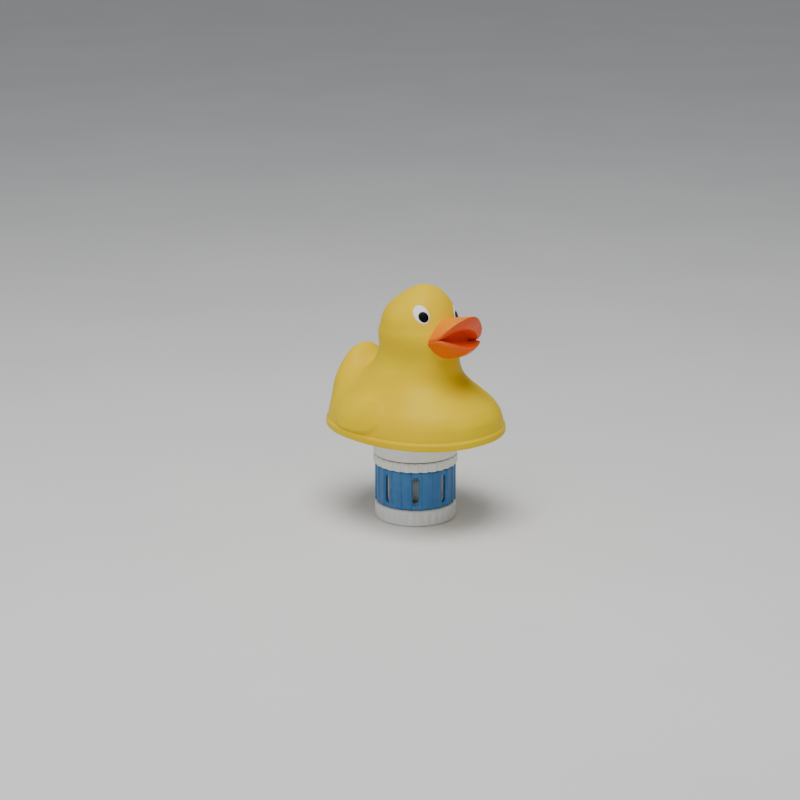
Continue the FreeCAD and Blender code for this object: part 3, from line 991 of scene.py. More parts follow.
    def wing_relief(self, points: Points) -> Points:
        """How far the wings stand proud: crisp along the top and front, fading to the tail.

        Args:
            points: Places as forward, left and up from the duck's underside, in millimetres.

        Returns:
            Millimetres.
        """
        along = (points[..., 0] - self.wing_middle[0]) / self.wing_half[0]
        up = (points[..., 2] - self.wing_middle[1]) / self.wing_half[1]
        power, above = self.wing_power, np.abs(up - self.wing_rise * along)
        edge = (np.abs(along) ** power + above**power) ** (1.0 / power)
        sharp = 1.0 - smooth_step(edge, *self.wing_edge)
        fade = smooth_step(points[..., 0], *self.wing_fade) * (1.0 - self.wing_least) + self.wing_least
        side = smooth_step(np.abs(points[..., 1]), *self.wing_side)
        return self.wing_proud * sharp * fade * side

    def rim_band(self, points: Points) -> Points:
        """The raised band round the underside.

        Args:
            points: Places as forward, left and up from the duck's underside, in millimetres.

        Returns:
            Negative inside the band.
        """
        height = points[..., 2]
        flat = points * np.array([1.0, 1.0, 0.0]) + np.array([0.0, 0.0, self.rim_level])
        top, bottom = self.rim_rounds
        band = soft_max(self.torso(flat, self.rim_proud), height - self.rim_height, top)
        return soft_max(band, -height, bottom)

    def skin(self, points: Points) -> Points:
        """The whole duck without its bill.

        Args:
            points: Places as forward, left and up from the duck's underside, in millimetres.

        Returns:
            Negative inside the duck.
        """
        height = points[..., 2]
        torso = soft_max(self.torso(points), height - self.neck_top, self.neck_round)
        body = soft_max(torso, -height, self.base_round)
        rump = soft_max(ellipsoid(points, *self.rump), -height, self.base_round)
        tail = soft_max(ellipsoid(points, *self.tail, self.tail_pitch), -height, self.base_round)
        shape = soft_min(soft_min(body, rump, self.rump_fillet), tail, self.tail_fillet)
        shape = soft_min(shape, self.head_shape(points), self.head_fillet) - self.wing_relief(points)
        return soft_min(shape, self.rim_band(points), self.rim_fillet)


@dataclass
class BillForm:
    """The open bill in the head's own frame: a puffy outside, and a funnel between its two lips.

    Lengths are in millimetres. The rim of the lips is given round a pivot at the mouth's corners, from
    straight ahead to square across.
    """

    reach: tuple[float, ...] = (12.0, 22.0, 29.0, 33.5, 36.5, 39.2, 41.6, 43.4, 44.3)
    half_width: tuple[float, ...] = (13.6, 14.6, 16.5, 17.2, 16.6, 13.8, 9.2, 4.8, 0.6)
    crown: tuple[float, ...] = (70.6, 70.8, 72.2, 73.0, 73.6, 74.2, 74.8, 75.2, 75.4)
    upper_edge: tuple[float, ...] = (55.6, 55.9, 58.4, 61.2, 64.0, 67.8, 71.6, 74.0, 74.9)
    keel: tuple[float, ...] = (46.6, 46.6, 47.4, 48.7, 50.0, 51.4, 53.0, 54.3, 55.2)
    lower_edge: tuple[float, ...] = (55.0, 55.3, 57.2, 58.6, 59.2, 58.8, 57.6, 56.4, 55.8)
    pivot: float = 22.0
    turns: tuple[float, ...] = (0.0, 12.0, 25.0, 40.0, 51.0, 67.0, 90.0)
    rim_reach: tuple[float, ...] = (22.0, 21.9, 21.8, 22.5, 22.4, 17.9, 14.4)
    rim_top: tuple[float, ...] = (74.8, 74.1, 71.9, 67.2, 62.4, 58.5, 55.7)
    rim_bottom: tuple[float, ...] = (55.7, 56.3, 57.5, 58.9, 59.9, 58.1, 55.6)
    fold_share: tuple[float, float] = (0.44, 0.98)
    fold_height: tuple[float, float] = (59.6, 55.65)
    vault_depth: tuple[float, ...] = (0.0, 0.1, 0.35, 0.65, 0.85, 1.0, 1.25)
    vault_rise: tuple[float, ...] = (0.0, 0.28, 0.38, 0.47, 0.7, 1.0, 1.45)
    root: float = 13.0
    bulge_power: float = 2.2
    keel_round: float = 1.0
    side_round: float = 1.2
    side_power: float = 1.6
    pout_share: float = 0.62
    mouth_slopes: tuple[float, float, float] = (1.6, 1.1, 6.0)
    mouth_round: float = 0.5
    lip_round: float = 0.9
    roll_degrees: float = 3.0
    roll_height: float = 62.0

    def rolled(self, points: Points) -> Points:
        """The bill's points, rolled a little more than the head leans.

        Args:
            points: Places in the head's own frame, where it doesn't lean.

        Returns:
            The rolled points.
        """
        turn = math.radians(self.roll_degrees)
        left, rise = points[:, 1], points[:, 2] - self.roll_height
        return np.stack([
            points[:, 0], left * math.cos(turn) + rise * math.sin(turn),
            self.roll_height + rise * math.cos(turn) - left * math.sin(turn),
        ], 1)

    def across(self, values: tuple[float, ...], points: Points) -> Points:
        """A course of values along the bill, at each point."""
        return Course(self.reach, values).at(points[..., 0])

    def outside(self, points: Points) -> Points:
        """The bill as one closed form, before the mouth is cut.

        Args:
            points: Places in the head's own frame, where it doesn't lean.

        Returns:
            Negative inside the bill.
        """
        out = np.abs(points[..., 1])
        wide = self.across(self.half_width, points)
        share = np.minimum(out / wide, 1.15)
        crown, upper = self.across(self.crown, points), self.across(self.upper_edge, points)
        keel, lower = self.across(self.keel, points), self.across(self.lower_edge, points)
        power, probe = self.bulge_power, 0.4
        roof = crown - (crown - upper) * share**power
        floor = keel + (lower - keel) * share**power
        steep = np.sqrt(1.0 + (power * (crown - upper) / wide * share ** (power - 1.0)) ** 2)
        low_steep = np.sqrt(1.0 + (power * (lower - keel) / wide * share ** (power - 1.0)) ** 2)
        slope = (wide - self.across(self.half_width, points + np.array([probe, 0.0, 0.0]))) / probe
        walls = (out - wide) / np.sqrt(1.0 + slope**2)
        above, below = (points[..., 2] - roof) / steep, (floor - points[..., 2]) / low_steep
        body = soft_max(above, below, self.keel_round)
        return np.maximum(soft_max(body, walls, self.side_round), self.root - points[..., 0])

    def funnel(self, points: Points) -> tuple[Points, Points, Points]:
        """Where each point lies in the mouth's funnel.

        Args:
            points: Places in the head's own frame.

        Returns:
            How far it lies from the fold (0) to the rim (1), and the ceiling's and floor's heights there.
        """
        ahead, out = points[..., 0] - self.pivot, np.abs(points[..., 1])
        turn = np.clip(np.degrees(np.arctan2(out, ahead)), 0.0, 90.0)
        rim = Course(self.turns, self.rim_reach).at(turn)
        side = (turn / 90.0) ** self.side_power
        fold = rim * (self.fold_share[0] + (self.fold_share[1] - self.fold_share[0]) * side)
        level = self.fold_height[0] + (self.fold_height[1] - self.fold_height[0]) * side
        share = (np.where(ahead > 0.0, np.hypot(ahead, out), 0.0) - fold) / (rim - fold)
        inner = np.clip(share, 0.0, 1.25)
        top = Course(self.turns, self.rim_top).at(turn)
        bottom = Course(self.turns, self.rim_bottom).at(turn)
        early, late = 1.0 - (1.0 - np.minimum(inner, 1.0)) ** 3, inner**4
        pout = self.pout_share * early + (1.0 - self.pout_share) * late
        vault = Course(self.vault_depth, self.vault_rise).at(inner)
        return share, level + (top - level) * vault, level - (level - bottom) * pout

    def mouth(self, points: Points) -> Points:
        """The funnel between the lips: negative inside it.

        Args:
            points: Places in the head's own frame, where it doesn't lean.

        Returns:
            Negative inside the mouth.
        """
        share, ceiling, floor = self.funnel(points)
        over = (points[..., 2] - ceiling) / self.mouth_slopes[0]
        under = (floor - points[..., 2]) / self.mouth_slopes[1]
        return np.maximum(soft_max(over, under, self.mouth_round), -share * self.mouth_slopes[2])

    def shape(self, points: Points) -> Points:
        """The finished bill, with rounded lips."""
        return soft_max(self.outside(points), -self.mouth(points), self.lip_round)


@dataclass
class EyePrint:
    """A printed eye: a slanting ellipse, with a pupil at its lower front.

    The places are the left eye's and the right eye's: they were printed by hand, and differ a little.
    """

    places: tuple[tuple[float, float, float], ...] = ((20.7, 11.5, 72.6), (17.0, 15.5, 72.8))
    aim: tuple[float, float, float] = (2.7, 0.0, 64.0)
    half: tuple[float, float] = (4.5, 6.6)
    slant: float = 38.0
    pupil_half: tuple[float, float] = (3.15, 3.7)
    pupil_shift: tuple[float, float] = (1.5, -1.6)
    white_lift: float = 0.12
    pupil_lift: float = 0.22
    flat_share: float = 0.86
    set_in: float = 0.3
    rings: int = 10
    spokes: int = 64

    def patch(
        self, duck: DuckForm, side: Side, half: tuple[float, float], shift: tuple[float, float],
        lift: float,
    ) -> tuple[Points, list[list[int]]]:
        """A thin ellipse of paint laid on the head.

        Args:
            duck: The head that it lies on.
            side: Which side of the head.
            half: Half its width and half its height.
            shift: How far it is moved forward and up from the eye's middle.
            lift: How far its face stands proud.

        Returns:
            Its points in the duck's frame, and its faces.
        """
        middle = np.array(self.places[side is Side.RIGHT]) * np.array([1.0, side.value, 1.0])
        out = middle - np.array(self.aim)
        out /= np.linalg.norm(out)
        ahead = np.cross(np.array([0.0, 0.0, 1.0]), out) * -side.value
        ahead /= np.linalg.norm(ahead)
        up = np.cross(out, ahead) * side.value
        up *= math.copysign(1.0, up[2])
        turn = math.radians(self.slant)
        rows, lifts = [], []
        for step in range(1, self.rings + 1):
            share = step / self.rings
            for spoke in range(self.spokes):
                angle = -2.0 * math.pi * spoke / self.spokes * side.value
                a, b = half[0] * share * math.cos(angle), half[1] * share * math.sin(angle)
                forward = a * math.cos(turn) - b * math.sin(turn) + shift[0]
                rise = a * math.sin(turn) + b * math.cos(turn) + shift[1]
                rows.append(middle + ahead * forward + up * rise)
                fall = max(0.0, (share - self.flat_share) / (1.0 - self.flat_share))
                lifts.append(lift * math.sqrt(max(0.0, 1.0 - fall**2)))
        rows.append(middle + ahead * shift[0] + up * shift[1])
        lifts.append(lift)
        face = settle(duck.skin, duck.leaning(np.array(rows)), rounds=8)
        normal = gradient(duck.skin, face)
        normal /= np.linalg.norm(normal, axis=1)[:, None]
        top, bottom = face + normal * np.array(lifts)[:, None], face - normal * self.set_in
        return np.concatenate([top, bottom]), self.disc_faces(len(rows))

    def disc_faces(self, count: int) -> list[list[int]]:
        """Faces of a closed disc whose top and bottom have count points each.

        Args:
            count: How many points its top has, with the middle one last.

        Returns:
            Its faces, facing outward.
        """
        faces: list[list[int]] = []
        middle, n = count - 1, self.spokes
        for i in range(n):
            j = (i + 1) % n
            faces.append([middle, i, j])
            faces.append([middle + count, j + count, i + count])
            for ring in range(self.rings - 1):
                a, b = ring * n, (ring + 1) * n
                faces.append([a + i, b + i, b + j, a + j])
                faces.append([a + j + count, b + j + count, b + i + count, a + i + count])
            last = (self.rings - 1) * n
            faces.append([last + j, last + i, last + i + count, last + j + count])
        return faces


@dataclass
class DuckFloat:
    """The duck with its bill and eyes, on the float's body."""

    palette: Palette
    deck: float
    hole_radius: float = 25.0
    wall: float = 1.6
    form: DuckForm = field(default_factory=DuckForm)
    bill: BillForm = field(default_factory=BillForm)
    eye: EyePrint = field(default_factory=EyePrint)

    def in_frame(self, points: Points) -> Points:
        """Turns forward, left and up from the underside into the frame's own directions."""
        return np.stack([points[:, 1], -points[:, 0], points[:, 2] + self.deck], 1)

    def shell(self) -> bpy.types.Object:
        """The hollow vinyl skin, open where the clamp closes it.

        Returns:
            The piece.
        """
        axes = (
            spaced((-60.0, 60.0, 1.15)), spaced((-50.0, 50.0, 1.15)),
            spaced((-1.5, 7.0, 0.5), (7.0, 90.0, 1.15)),
        )
        points, quads = surface_net(self.form.skin, axes)
        reach = np.hypot(points[:, 0], points[:, 1])
        low = points[:, 2] < 0.5
        keep = ~((reach < self.hole_radius) & low)[quads].any(1)
        used = np.unique(quads[keep])
        number = np.full(len(points), -1)
        number[used] = np.arange(len(used))
        piece = mesh_piece("duck_skin", self.in_frame(points[used]), number[quads[keep]])
        dress(piece, self.palette.vinyl)
        shell = piece.modifiers.new("wall", "SOLIDIFY")
        shell.thickness, shell.offset = self.wall * MM, -1.0
        evaluated_copy(piece)
        return finish_piece(piece, Body.DUCK, Slot.VINYL, "duck_shell")

    def lips(self) -> bpy.types.Object:
        """The bill, with the masks that its paint and its painted shade read.

        Returns:
            The piece.
        """
        axes = (spaced((11.0, 47.0, 0.5)), spaced((-18.0, 18.0, 0.5)), spaced((44.0, 80.0, 0.5)))
        own, quads = surface_net(self.bill.shape, axes)
        piece = mesh_piece("duck_bill", self.in_frame(self.form.leaning(self.bill.rolled(own))), quads)
        gap = self.bill.mouth(own)
        depth, ceiling, floor = self.bill.funnel(own)
        inner = 1.0 - smooth_step(gap, 0.1, 0.9)
        roof = smooth_step(own[:, 2], (ceiling + floor) / 2.0 - 0.4, (ceiling + floor) / 2.0 + 0.4)
        reach = 0.16 + 0.5 * roof
        add_mask(piece, "lip", np.clip(inner + 0.7 * smooth_step(own[:, 0], 38.0, 43.5), 0.0, 1.0))
        # Painted shade: the fold mask covers the inside of the mouth near its back, reaching further up the
        # ceiling than on the floor.
        add_mask(piece, "fold", inner * (1.0 - smooth_step(depth, reach - 0.12, reach + 0.2)))
        add_mask(piece, "root_height", smooth_step(own[:, 2], 60.0, 72.0))
        add_mask(piece, "under", 1.0 - smooth_step(own[:, 2] + 0.1 * own[:, 0], 59.6, 62.0))
        dress(piece, self.palette.bill)
        return finish_piece(piece, Body.DUCK, Slot.ORANGE, "bill")

    def eyes(self) -> None:
        """Both eyes: whites, then pupils a little prouder."""
        eye, paints = self.eye, self.palette
        for side in Side:
            word = side.name.lower()
            for name, half, shift, lift, finish, slot in (
                ("eye_white", eye.half, (0.0, 0.0), eye.white_lift, paints.eye_white, Slot.WHITE_PAINT),
                ("pupil", eye.pupil_half, eye.pupil_shift, eye.pupil_lift, paints.pupil, Slot.BLACK_PAINT),
            ):
                points, faces = eye.patch(self.form, side, half, shift, lift)
                piece = mesh_piece(f"printed_{name}_{word}", self.in_frame(points), faces)
                finish_piece(dress(piece, finish), Body.DUCK, slot, f"{name}_{word}")

    def build(self) -> None:
        """Makes every visible piece of the duck."""
        self.shell()
        self.lips()
        self.eyes()


# --- Canister -----------------------------------------------------------------------------------
# Each grid reaches a little past its piece. One that starts off the axis leaves a flat middle to close.


def sector(points: Points, copies: int, first: float = 0.0) -> tuple[Points, Points, Points]:
    """Folds the frame into one sector of a ring.

    Args:
        points: Places in the frame, in millimetres.
        copies: How many times the ring repeats.
        first: The angle of the first copy's middle, in degrees.

    Returns:
        Radius, distance round the ring from the nearest copy's middle, and height.
    """
    radius = np.hypot(points[..., 0], points[..., 1])
    angle = np.degrees(np.arctan2(points[..., 1], points[..., 0])) - first
    span = 360.0 / copies
    return radius, radius * np.radians((angle + span / 2.0) % span - span / 2.0), points[..., 2]


def tube(
    radius: Points, height: Points, radii: tuple[float, float], levels: tuple[float, float], edge: float,
) -> Points:
    """A turned wall with rounded edges.

    Args:
        radius: Each place's distance from the axis.
        height: Each place's height.
        radii: The wall's outer and inner radii.
        levels: The heights of its bottom and its top.
        edge: The rounding of its edges.

    Returns:
        Negative inside the wall.
    """
    (outer, inner), (low, high) = radii, levels
    wall = soft_max(radius - outer, inner - radius, edge)
    return soft_max(wall, np.abs(height - (low + high) / 2.0) - (high - low) / 2.0, edge)


@dataclass(frozen=True)
class VentSlots:
    """The upright slots that the basket and its sleeve share."""

    count: int = 8
    width: float = 3.6
    height: float = 17.0
    middle: float = 22.0

    def shape(self, points: Points) -> Points:
        """Negative inside a slot, at any radius.

        Args:
            points: Places in the frame, in millimetres.

        Returns:
            Negative inside a slot.
        """
        _, across, height = sector(points, self.count)
        over = np.maximum(np.abs(height - self.middle) - (self.height - self.width) / 2.0, 0.0)
        return np.hypot(across, over) - self.width / 2.0


@dataclass(frozen=True)
class QuickThread:
    """The thread's ridges, on the neck (outward 1) or in the skirt (outward -1)."""

    root: float
    outward: int
    base: float
    starts: int = 2
    lead: float = 9.6
    sweep: float = 140.0
    depth: float = 1.4
    foot: float = 2.0
    crest: float = 1.2
    run_out: float = 9.0
    edge_round: float = 0.35
    set_in: float = 0.6

    def shape(self, points: Points) -> Points:
        """The ridges, with their ends run out to nothing.

        Args:
            points: Places in the frame, in millimetres.

        Returns:
            Negative inside either ridge.
        """
        radius = np.hypot(points[..., 0], points[..., 1])
        turn = np.degrees(np.arctan2(points[..., 1], points[..., 0])) % (360.0 / self.starts)
        level = self.base + self.lead * turn / 360.0
        ends = np.minimum(turn, self.sweep - turn)
        depth = self.depth * np.clip(ends / self.run_out, 0.0, 1.0)
        rise = (radius - self.root) * self.outward
        narrowing = (self.foot - self.crest) / 2.0 * np.clip(rise / self.depth, -0.5, 1.0)
        half = self.foot / 2.0 - narrowing
        ridge = soft_max(np.abs(points[..., 2] - level) - half, rise - depth, self.edge_round)
        return np.maximum(np.maximum(ridge, -rise - self.set_in), np.radians(-ends) * self.root)


def ring_piece(
    name: str, shape: Field, copies: int, radii: Points, cells: int, heights: Points,
    finish: bpy.types.Material,
) -> bpy.types.Object:
    """Meshes one sector of a shape that repeats round the axis, and sets copies of it in a ring.

    Args:
        name: The piece's name.
        shape: The whole shape, in the frame's millimetres.
        copies: How many equal sectors it has.
        radii: The grid's radii.
        cells: How many grid cells span one sector.
        heights: The grid's heights.
        finish: The piece's material.

    Returns:
        The piece, as plain mesh.
    """
    step = 360.0 / copies / cells
    angles = step * (np.arange(cells + 2) - cells / 2.0 - 0.5)
    points, quads = surface_net(shape, (radii, angles, heights), polar, cells)
    piece = mesh_piece(name, points, quads)
    RingOfCopies.apply(piece, copies, finish)
    close_middle(piece)
    return piece


@dataclass
class NeckClosure:
    """The neck cap with its screws, under the duck."""

    palette: Palette
    flange_base: float = 51.3
    flange_top: float = 54.3
    flange_radius: float = 35.0
    skirt_base: float = 40.3
    skirt_bore: float = 23.0
    skirt_radius: float = 25.3
    skirt_sink: float = 0.5
    skirt_round: float = 0.9
    flange_rounds: tuple[float, float] = (1.6, 0.3)
    skirt_fillet: float = 1.4
    bore_round: float = 0.8
    mouth_round: float = 0.5
    thread_drop: float = 1.0
    thread_fillet: float = 0.25
    hole_radius: float = 1.7
    hole_round: float = 0.4
    screw_circle: float = 30.5
    screw_count: int = 4
    head_radius: float = 2.8
    head_height: float = 2.0
    shank_radius: float = 1.45
    shank_length: float = 13.5
    head_dome: float = 1.25
    head_rounds: tuple[float, float, float] = (0.4, 0.2, 0.35)
    thread_depth: float = 0.16
    thread_pitch: float = 1.1
    point_taper: float = 0.45
    recess_half: tuple[float, float] = (0.36, 1.5)
    recess_depth: float = 1.05
    recess_taper: float = 0.4

    def cap_shape(self, points: Points) -> Points:
        """Flange and skirt with a moulded fillet, the thread and the screws' holes.

        Args:
            points: Places in the frame, in millimetres.

        Returns:
            Negative inside the cap.
        """
        radius, across, height = sector(points, self.screw_count, 45.0)
        flange = soft_max(radius - self.flange_radius, self.flange_base - height, self.flange_rounds[0])
        flange = soft_max(flange, height - self.flange_top, self.flange_rounds[1])
        levels = (self.skirt_base, self.flange_top - self.skirt_sink)
        skirt = tube(radius, height, (self.skirt_radius, 0.0), levels, self.skirt_round)
        body = soft_min(flange, skirt, self.skirt_fillet)
        bore = soft_max(radius - self.skirt_bore, height - self.flange_base, self.bore_round)
        body = soft_max(body, -bore, self.mouth_round)
        thread = QuickThread(self.skirt_bore, -1, self.skirt_base + self.thread_drop)
        body = soft_min(body, thread.shape(points), self.thread_fillet)
        hole = np.hypot(radius - self.screw_circle, across) - self.hole_radius
        return soft_max(body, -hole, self.hole_round)

    def cap(self) -> None:
        """The neck cap."""
        past_skirt, rim = self.skirt_radius + 1.3, self.flange_radius + 0.8
        radii = spaced((self.skirt_bore - 2.2, past_skirt, 0.4), (past_skirt, rim, 0.6))
        under_flange, top = self.flange_base - 0.3, self.flange_top + 0.6
        heights = spaced((self.skirt_base - 0.5, under_flange, 0.45), (under_flange, top, 0.4))
        piece = ring_piece("closing_cap", self.cap_shape, 2, radii, 260, heights, self.palette.white)
        finish_piece(piece, Body.DUCK, Slot.WHITE_PLASTIC, "neck_cap")

    def screw_shape(self, points: Points) -> Points:
        """One pan-head screw with a cross recess and rolled threads.

        Args:
            points: Places in the frame, in millimetres.

        Returns:
            Negative inside the screw.
        """
        x, y, z = points[..., 0] - self.screw_circle, points[..., 1], points[..., 2] - self.flange_base
        radius = np.hypot(x, y)
        side, seat, top = self.head_rounds
        dome = np.hypot(radius, (z + 0.15) * self.head_dome) - self.head_radius - 0.12
        head = soft_max(soft_max(radius - self.head_radius, dome, side), z, seat)
        head = soft_max(head, -self.head_height - z, top)
        turn = np.arctan2(y, x)
        thread = self.thread_depth * np.cos(2.0 * math.pi * z / self.thread_pitch - turn)
        core = self.shank_radius - 0.2 + np.where(z > 0.8, thread, 0.0)
        point = (self.shank_length - z) * self.point_taper
        shank = soft_max(radius - np.minimum(core, point), -z - 0.3, 0.1)
        near, far = np.minimum(np.abs(x), np.abs(y)), np.maximum(np.abs(x), np.abs(y))
        wings = far - self.recess_half[1] + (z + self.head_height) * self.recess_taper
        end = z + self.head_height - self.recess_depth
        recess = np.maximum(np.maximum(near - self.recess_half[0], wings), end)
        return np.maximum(soft_min(head, shank, 0.3), -recess)

    def screws(self) -> None:
        """The four screws."""
        circle = self.screw_circle
        reach, seat = self.head_radius + 0.4, self.flange_base
        low, high = seat - self.head_height - 0.4, seat + self.shank_length + 0.5
        axes = (
            spaced((circle - reach, circle + reach, 0.2)), spaced((-reach, reach, 0.2)),
            spaced((low, seat, 0.16), (seat, high, 0.2)),
        )
        points, quads = surface_net(self.screw_shape, axes)
        piece = mesh_piece("pan_screws", points, quads)
        RingOfCopies.apply(piece, self.screw_count, self.palette.screw_steel, math.radians(45.0))
        finish_piece(piece, Body.DUCK, Slot.STAINLESS, "neck_screws")

    def build(self) -> None:
        """Makes the closure's visible pieces."""
        self.cap()
        self.screws()


@dataclass
class TabletCanister:
    """The vented canister with its base cap, sleeve and tablets."""

    palette: Palette
    slots: VentSlots = field(default_factory=VentSlots)
    basket_radius: float = 21.2
    basket_inside: float = 19.2
    basket_base: float = 7.0
    basket_floor: float = 9.0
    basket_top: float = 48.8
    groove_root: float = 20.25
    groove_level: float = 32.0
    groove_half: float = 0.72
    cup_round: float = 1.0
    floor_round: float = 1.6
    rim_round: float = 0.8
    wall_round: float = 0.3
    collar_radius: float = 25.3
    collar_base: float = 34.0
    collar_top: float = 39.5
    collar_flutes: int = 28
    flute_radius: float = 1.1
    flute_round: float = 0.6
    collar_round: float = 1.1
    collar_fillet: float = 0.5
    thread_base: float = 43.7
    thread_fillet: float = 0.25
    sleeve_bore: float = 21.5
    sleeve_radius: float = 23.7
    sleeve_base: float = 10.4
    sleeve_top: float = 33.6
    sleeve_ribs: int = 24
    sleeve_edges: tuple[float, float] = (0.5, 0.9)
    rib_proud: float = 0.8
    rib_half: float = 0.64
    rib_round: float = 0.7
    rib_fillet: float = 0.5
    slot_rounds: tuple[float, float] = (0.7, 0.5)
    cap_radius: float = 24.5
    cap_height: float = 10.0
    cap_bore: float = 21.3
    cap_floor: float = 2.0
    cap_grips: int = 32
    grip_radius: float = 1.5
    grip_sink: float = 0.62
    grip_share: float = 0.3
    grip_round: float = 0.6
    foot_round: float = 1.9
    bore_rounds: tuple[float, float] = (0.6, 0.5)
    recess_share: float = 0.7
    recess_depth: float = 0.6
    tablet_radius: float = 15.0
    tablet_height: float = 15.0
    tablet_base: float = 12.0
    tablet_count: int = 2
    tablet_round: float = 2.6
    tablet_bevel: float = 2.1
    dish_depth: float = 0.35
    dish_edge: tuple[float, float] = (8.5, 10.5)
    wear: tuple[float, float] = (0.05, 0.07)

    def sleeve_shape(self, points: Points) -> Points:
        """The turning collar: ribbed outside, slotted, with eased edges.

        Args:
            points: Places in the frame, in millimetres.

        Returns:
            Negative inside the sleeve.
        """
        radius, across, height = sector(points, self.sleeve_ribs, 180.0 / self.sleeve_ribs)
        proud = radius - self.sleeve_radius - self.rib_proud
        rib = soft_max(np.abs(across) - self.rib_half, proud, self.rib_round)
        outside = soft_min(radius - self.sleeve_radius, rib, self.rib_fillet)
        body = soft_max(outside, self.sleeve_bore - radius, self.sleeve_edges[0])
        middle = (self.sleeve_base + self.sleeve_top) / 2.0
        half = (self.sleeve_top - self.sleeve_base) / 2.0
        body = soft_max(body, np.abs(height - middle) - half, self.sleeve_edges[1])
        return soft_max(body, -self.slots.shape(points), self.slot_rounds[0])

    def sleeve(self) -> None:
        """The vent sleeve."""
        radii = spaced((self.sleeve_bore - 0.5, self.sleeve_radius + self.rib_proud + 0.5, 0.4))
        heights = spaced((self.sleeve_base - 0.5, self.sleeve_top + 0.5, 0.44))
        piece = ring_piece("turning_sleeve", self.sleeve_shape, 8, radii, 44, heights, self.palette.blue)
        finish_piece(piece, Body.SLEEVE, Slot.BLUE_PLASTIC, "vent_sleeve")

    def basket_shape(self, points: Points) -> Points:
        """The cup: slotted wall, drag groove, fluted collar and threaded neck.

        Args:
            points: Places in the frame, in millimetres.

        Returns:
            Negative inside the basket.
        """
        radius, across, height = sector(points, self.collar_flutes)
        cup = soft_max(radius - self.basket_radius, self.basket_base - height, self.cup_round)
        flute = np.hypot(radius - self.collar_radius, across) - self.flute_radius
        levels = (self.collar_base, self.collar_top)
        collar = tube(radius, height, (self.collar_radius, 0.0), levels, self.collar_round)
        cup = soft_min(cup, soft_max(collar, -flute, self.flute_round), self.collar_fillet)
        thread = QuickThread(self.basket_radius, 1, self.thread_base)
        cup = soft_min(cup, thread.shape(points), self.thread_fillet)
        inside = soft_max(radius - self.basket_inside, self.basket_floor - height, self.floor_round)
        cup = soft_max(cup, -inside, self.wall_round)
        cup = soft_max(cup, height - self.basket_top, self.rim_round)
        cup = soft_max(cup, -self.slots.shape(points), self.slot_rounds[1])
        beside = np.abs(height - self.groove_level) - self.groove_half
        return np.maximum(cup, -np.maximum(self.groove_root - radius, beside))

    def basket(self) -> None:
        """The tablet basket."""
        radii = spaced((self.basket_inside - 2.8, self.collar_radius + 0.7, 0.42))
        below, above = (self.basket_base - 0.6, self.collar_base), (self.collar_base, self.basket_top + 0.6)
        heights = spaced((*below, 0.52), (*above, 0.45))
        piece = ring_piece("slotted_basket", self.basket_shape, 2, radii, 200, heights, self.palette.white)
        finish_piece(piece, Body.CANISTER, Slot.WHITE_PLASTIC, "tablet_basket")

    def base_shape(self, points: Points) -> Points:
        """The foot: grip scallops round its side and a shallow recess under it.

        Args:
            points: Places in the frame, in millimetres.

        Returns:
            Negative inside the foot.
        """
        radius, across, height = sector(points, self.cap_grips)
        inner, edge = self.bore_rounds
        off_middle = np.abs(height - self.cap_height / 2.0)
        body = soft_max(radius - self.cap_radius, off_middle - self.cap_height / 2.0, self.foot_round)
        outward = radius - self.cap_radius - self.grip_radius * self.grip_sink
        scallop = np.hypot(outward, across) - self.grip_radius
        scallop = np.maximum(scallop, off_middle - self.cap_height * self.grip_share)
        body = soft_max(body, -scallop, self.grip_round)
        recess = soft_max(radius - self.cap_radius * self.recess_share, height - self.recess_depth, inner)
        bore = soft_max(radius - self.cap_bore, self.cap_floor - height, inner)
        return soft_max(soft_max(body, -bore, edge), -recess, edge)

    def base(self) -> None:
        """The base cap."""
        radii = spaced((self.cap_radius - 9.7, self.cap_radius + 0.7, 0.45))
        heights = spaced((-0.6, self.cap_height + 0.6, 0.4))
        piece = ring_piece("weighted_foot", self.base_shape, 8, radii, 40, heights, self.palette.white)
        finish_piece(piece, Body.CANISTER, Slot.WHITE_PLASTIC, "base_cap")

    def tablet(self, index: int) -> None:
        """One pressed tablet, with a chalky, slightly crumbled rim.

        Args:
            index: 0 for the lower tablet, and 1 for the one on it.
        """
        low = self.tablet_base + index * self.tablet_height
        middle = low + self.tablet_height / 2.0

        def worn(points: Points) -> Points:
            """The tablet less what has crumbled away.

            Args:
                points: Places in the frame, in millimetres.

            Returns:
                Negative inside the tablet.
            """
            radius = np.hypot(points[..., 0], points[..., 1])
            half = np.abs(points[..., 2] - middle) - self.tablet_height / 2.0
            body = soft_max(radius - self.tablet_radius, half, self.tablet_round)
            corner = (radius - self.tablet_radius) + half + self.tablet_bevel
            body = soft_max(body, corner * math.sqrt(0.5), 0.5)
            x, y, z = points[..., 0], points[..., 1], points[..., 2]
            first, second = 2.1 * index, 1.3 * index
            wave = np.sin(x * 1.7 + first) + np.sin(y * 2.13 + first + 1.0) + np.sin(z * 2.56 + first + 2.0)
            fine = np.sin(x * 4.1 + second) * np.sin(y * 3.4 + second) * np.sin(z * 2.7 + second)
            dish = self.dish_depth * (1.0 - smooth_step(radius, *self.dish_edge)) * (half > -1.5)
            return body + self.wear[0] * np.abs(wave) + self.wear[1] * np.abs(fine) + dish

        reach, above = self.tablet_radius + 0.6, self.tablet_height + 0.75
        across = spaced((-reach, reach, 0.62))
        points, quads = surface_net(worn, (across, across, spaced((low - 0.75, low + above, 0.5))))
        piece = dress(mesh_piece(f"pressed_tablet_{index + 1}", points, quads), self.palette.chlorine)
        finish_piece(piece, Body.CANISTER, Slot.CHLORINE, f"chlorine_tablet_{index + 1}")

    def build(self) -> None:
        """Makes the canister's visible pieces."""
        self.sleeve()
        self.basket()
        self.base()
        for index in range(self.tablet_count):
            self.tablet(index)


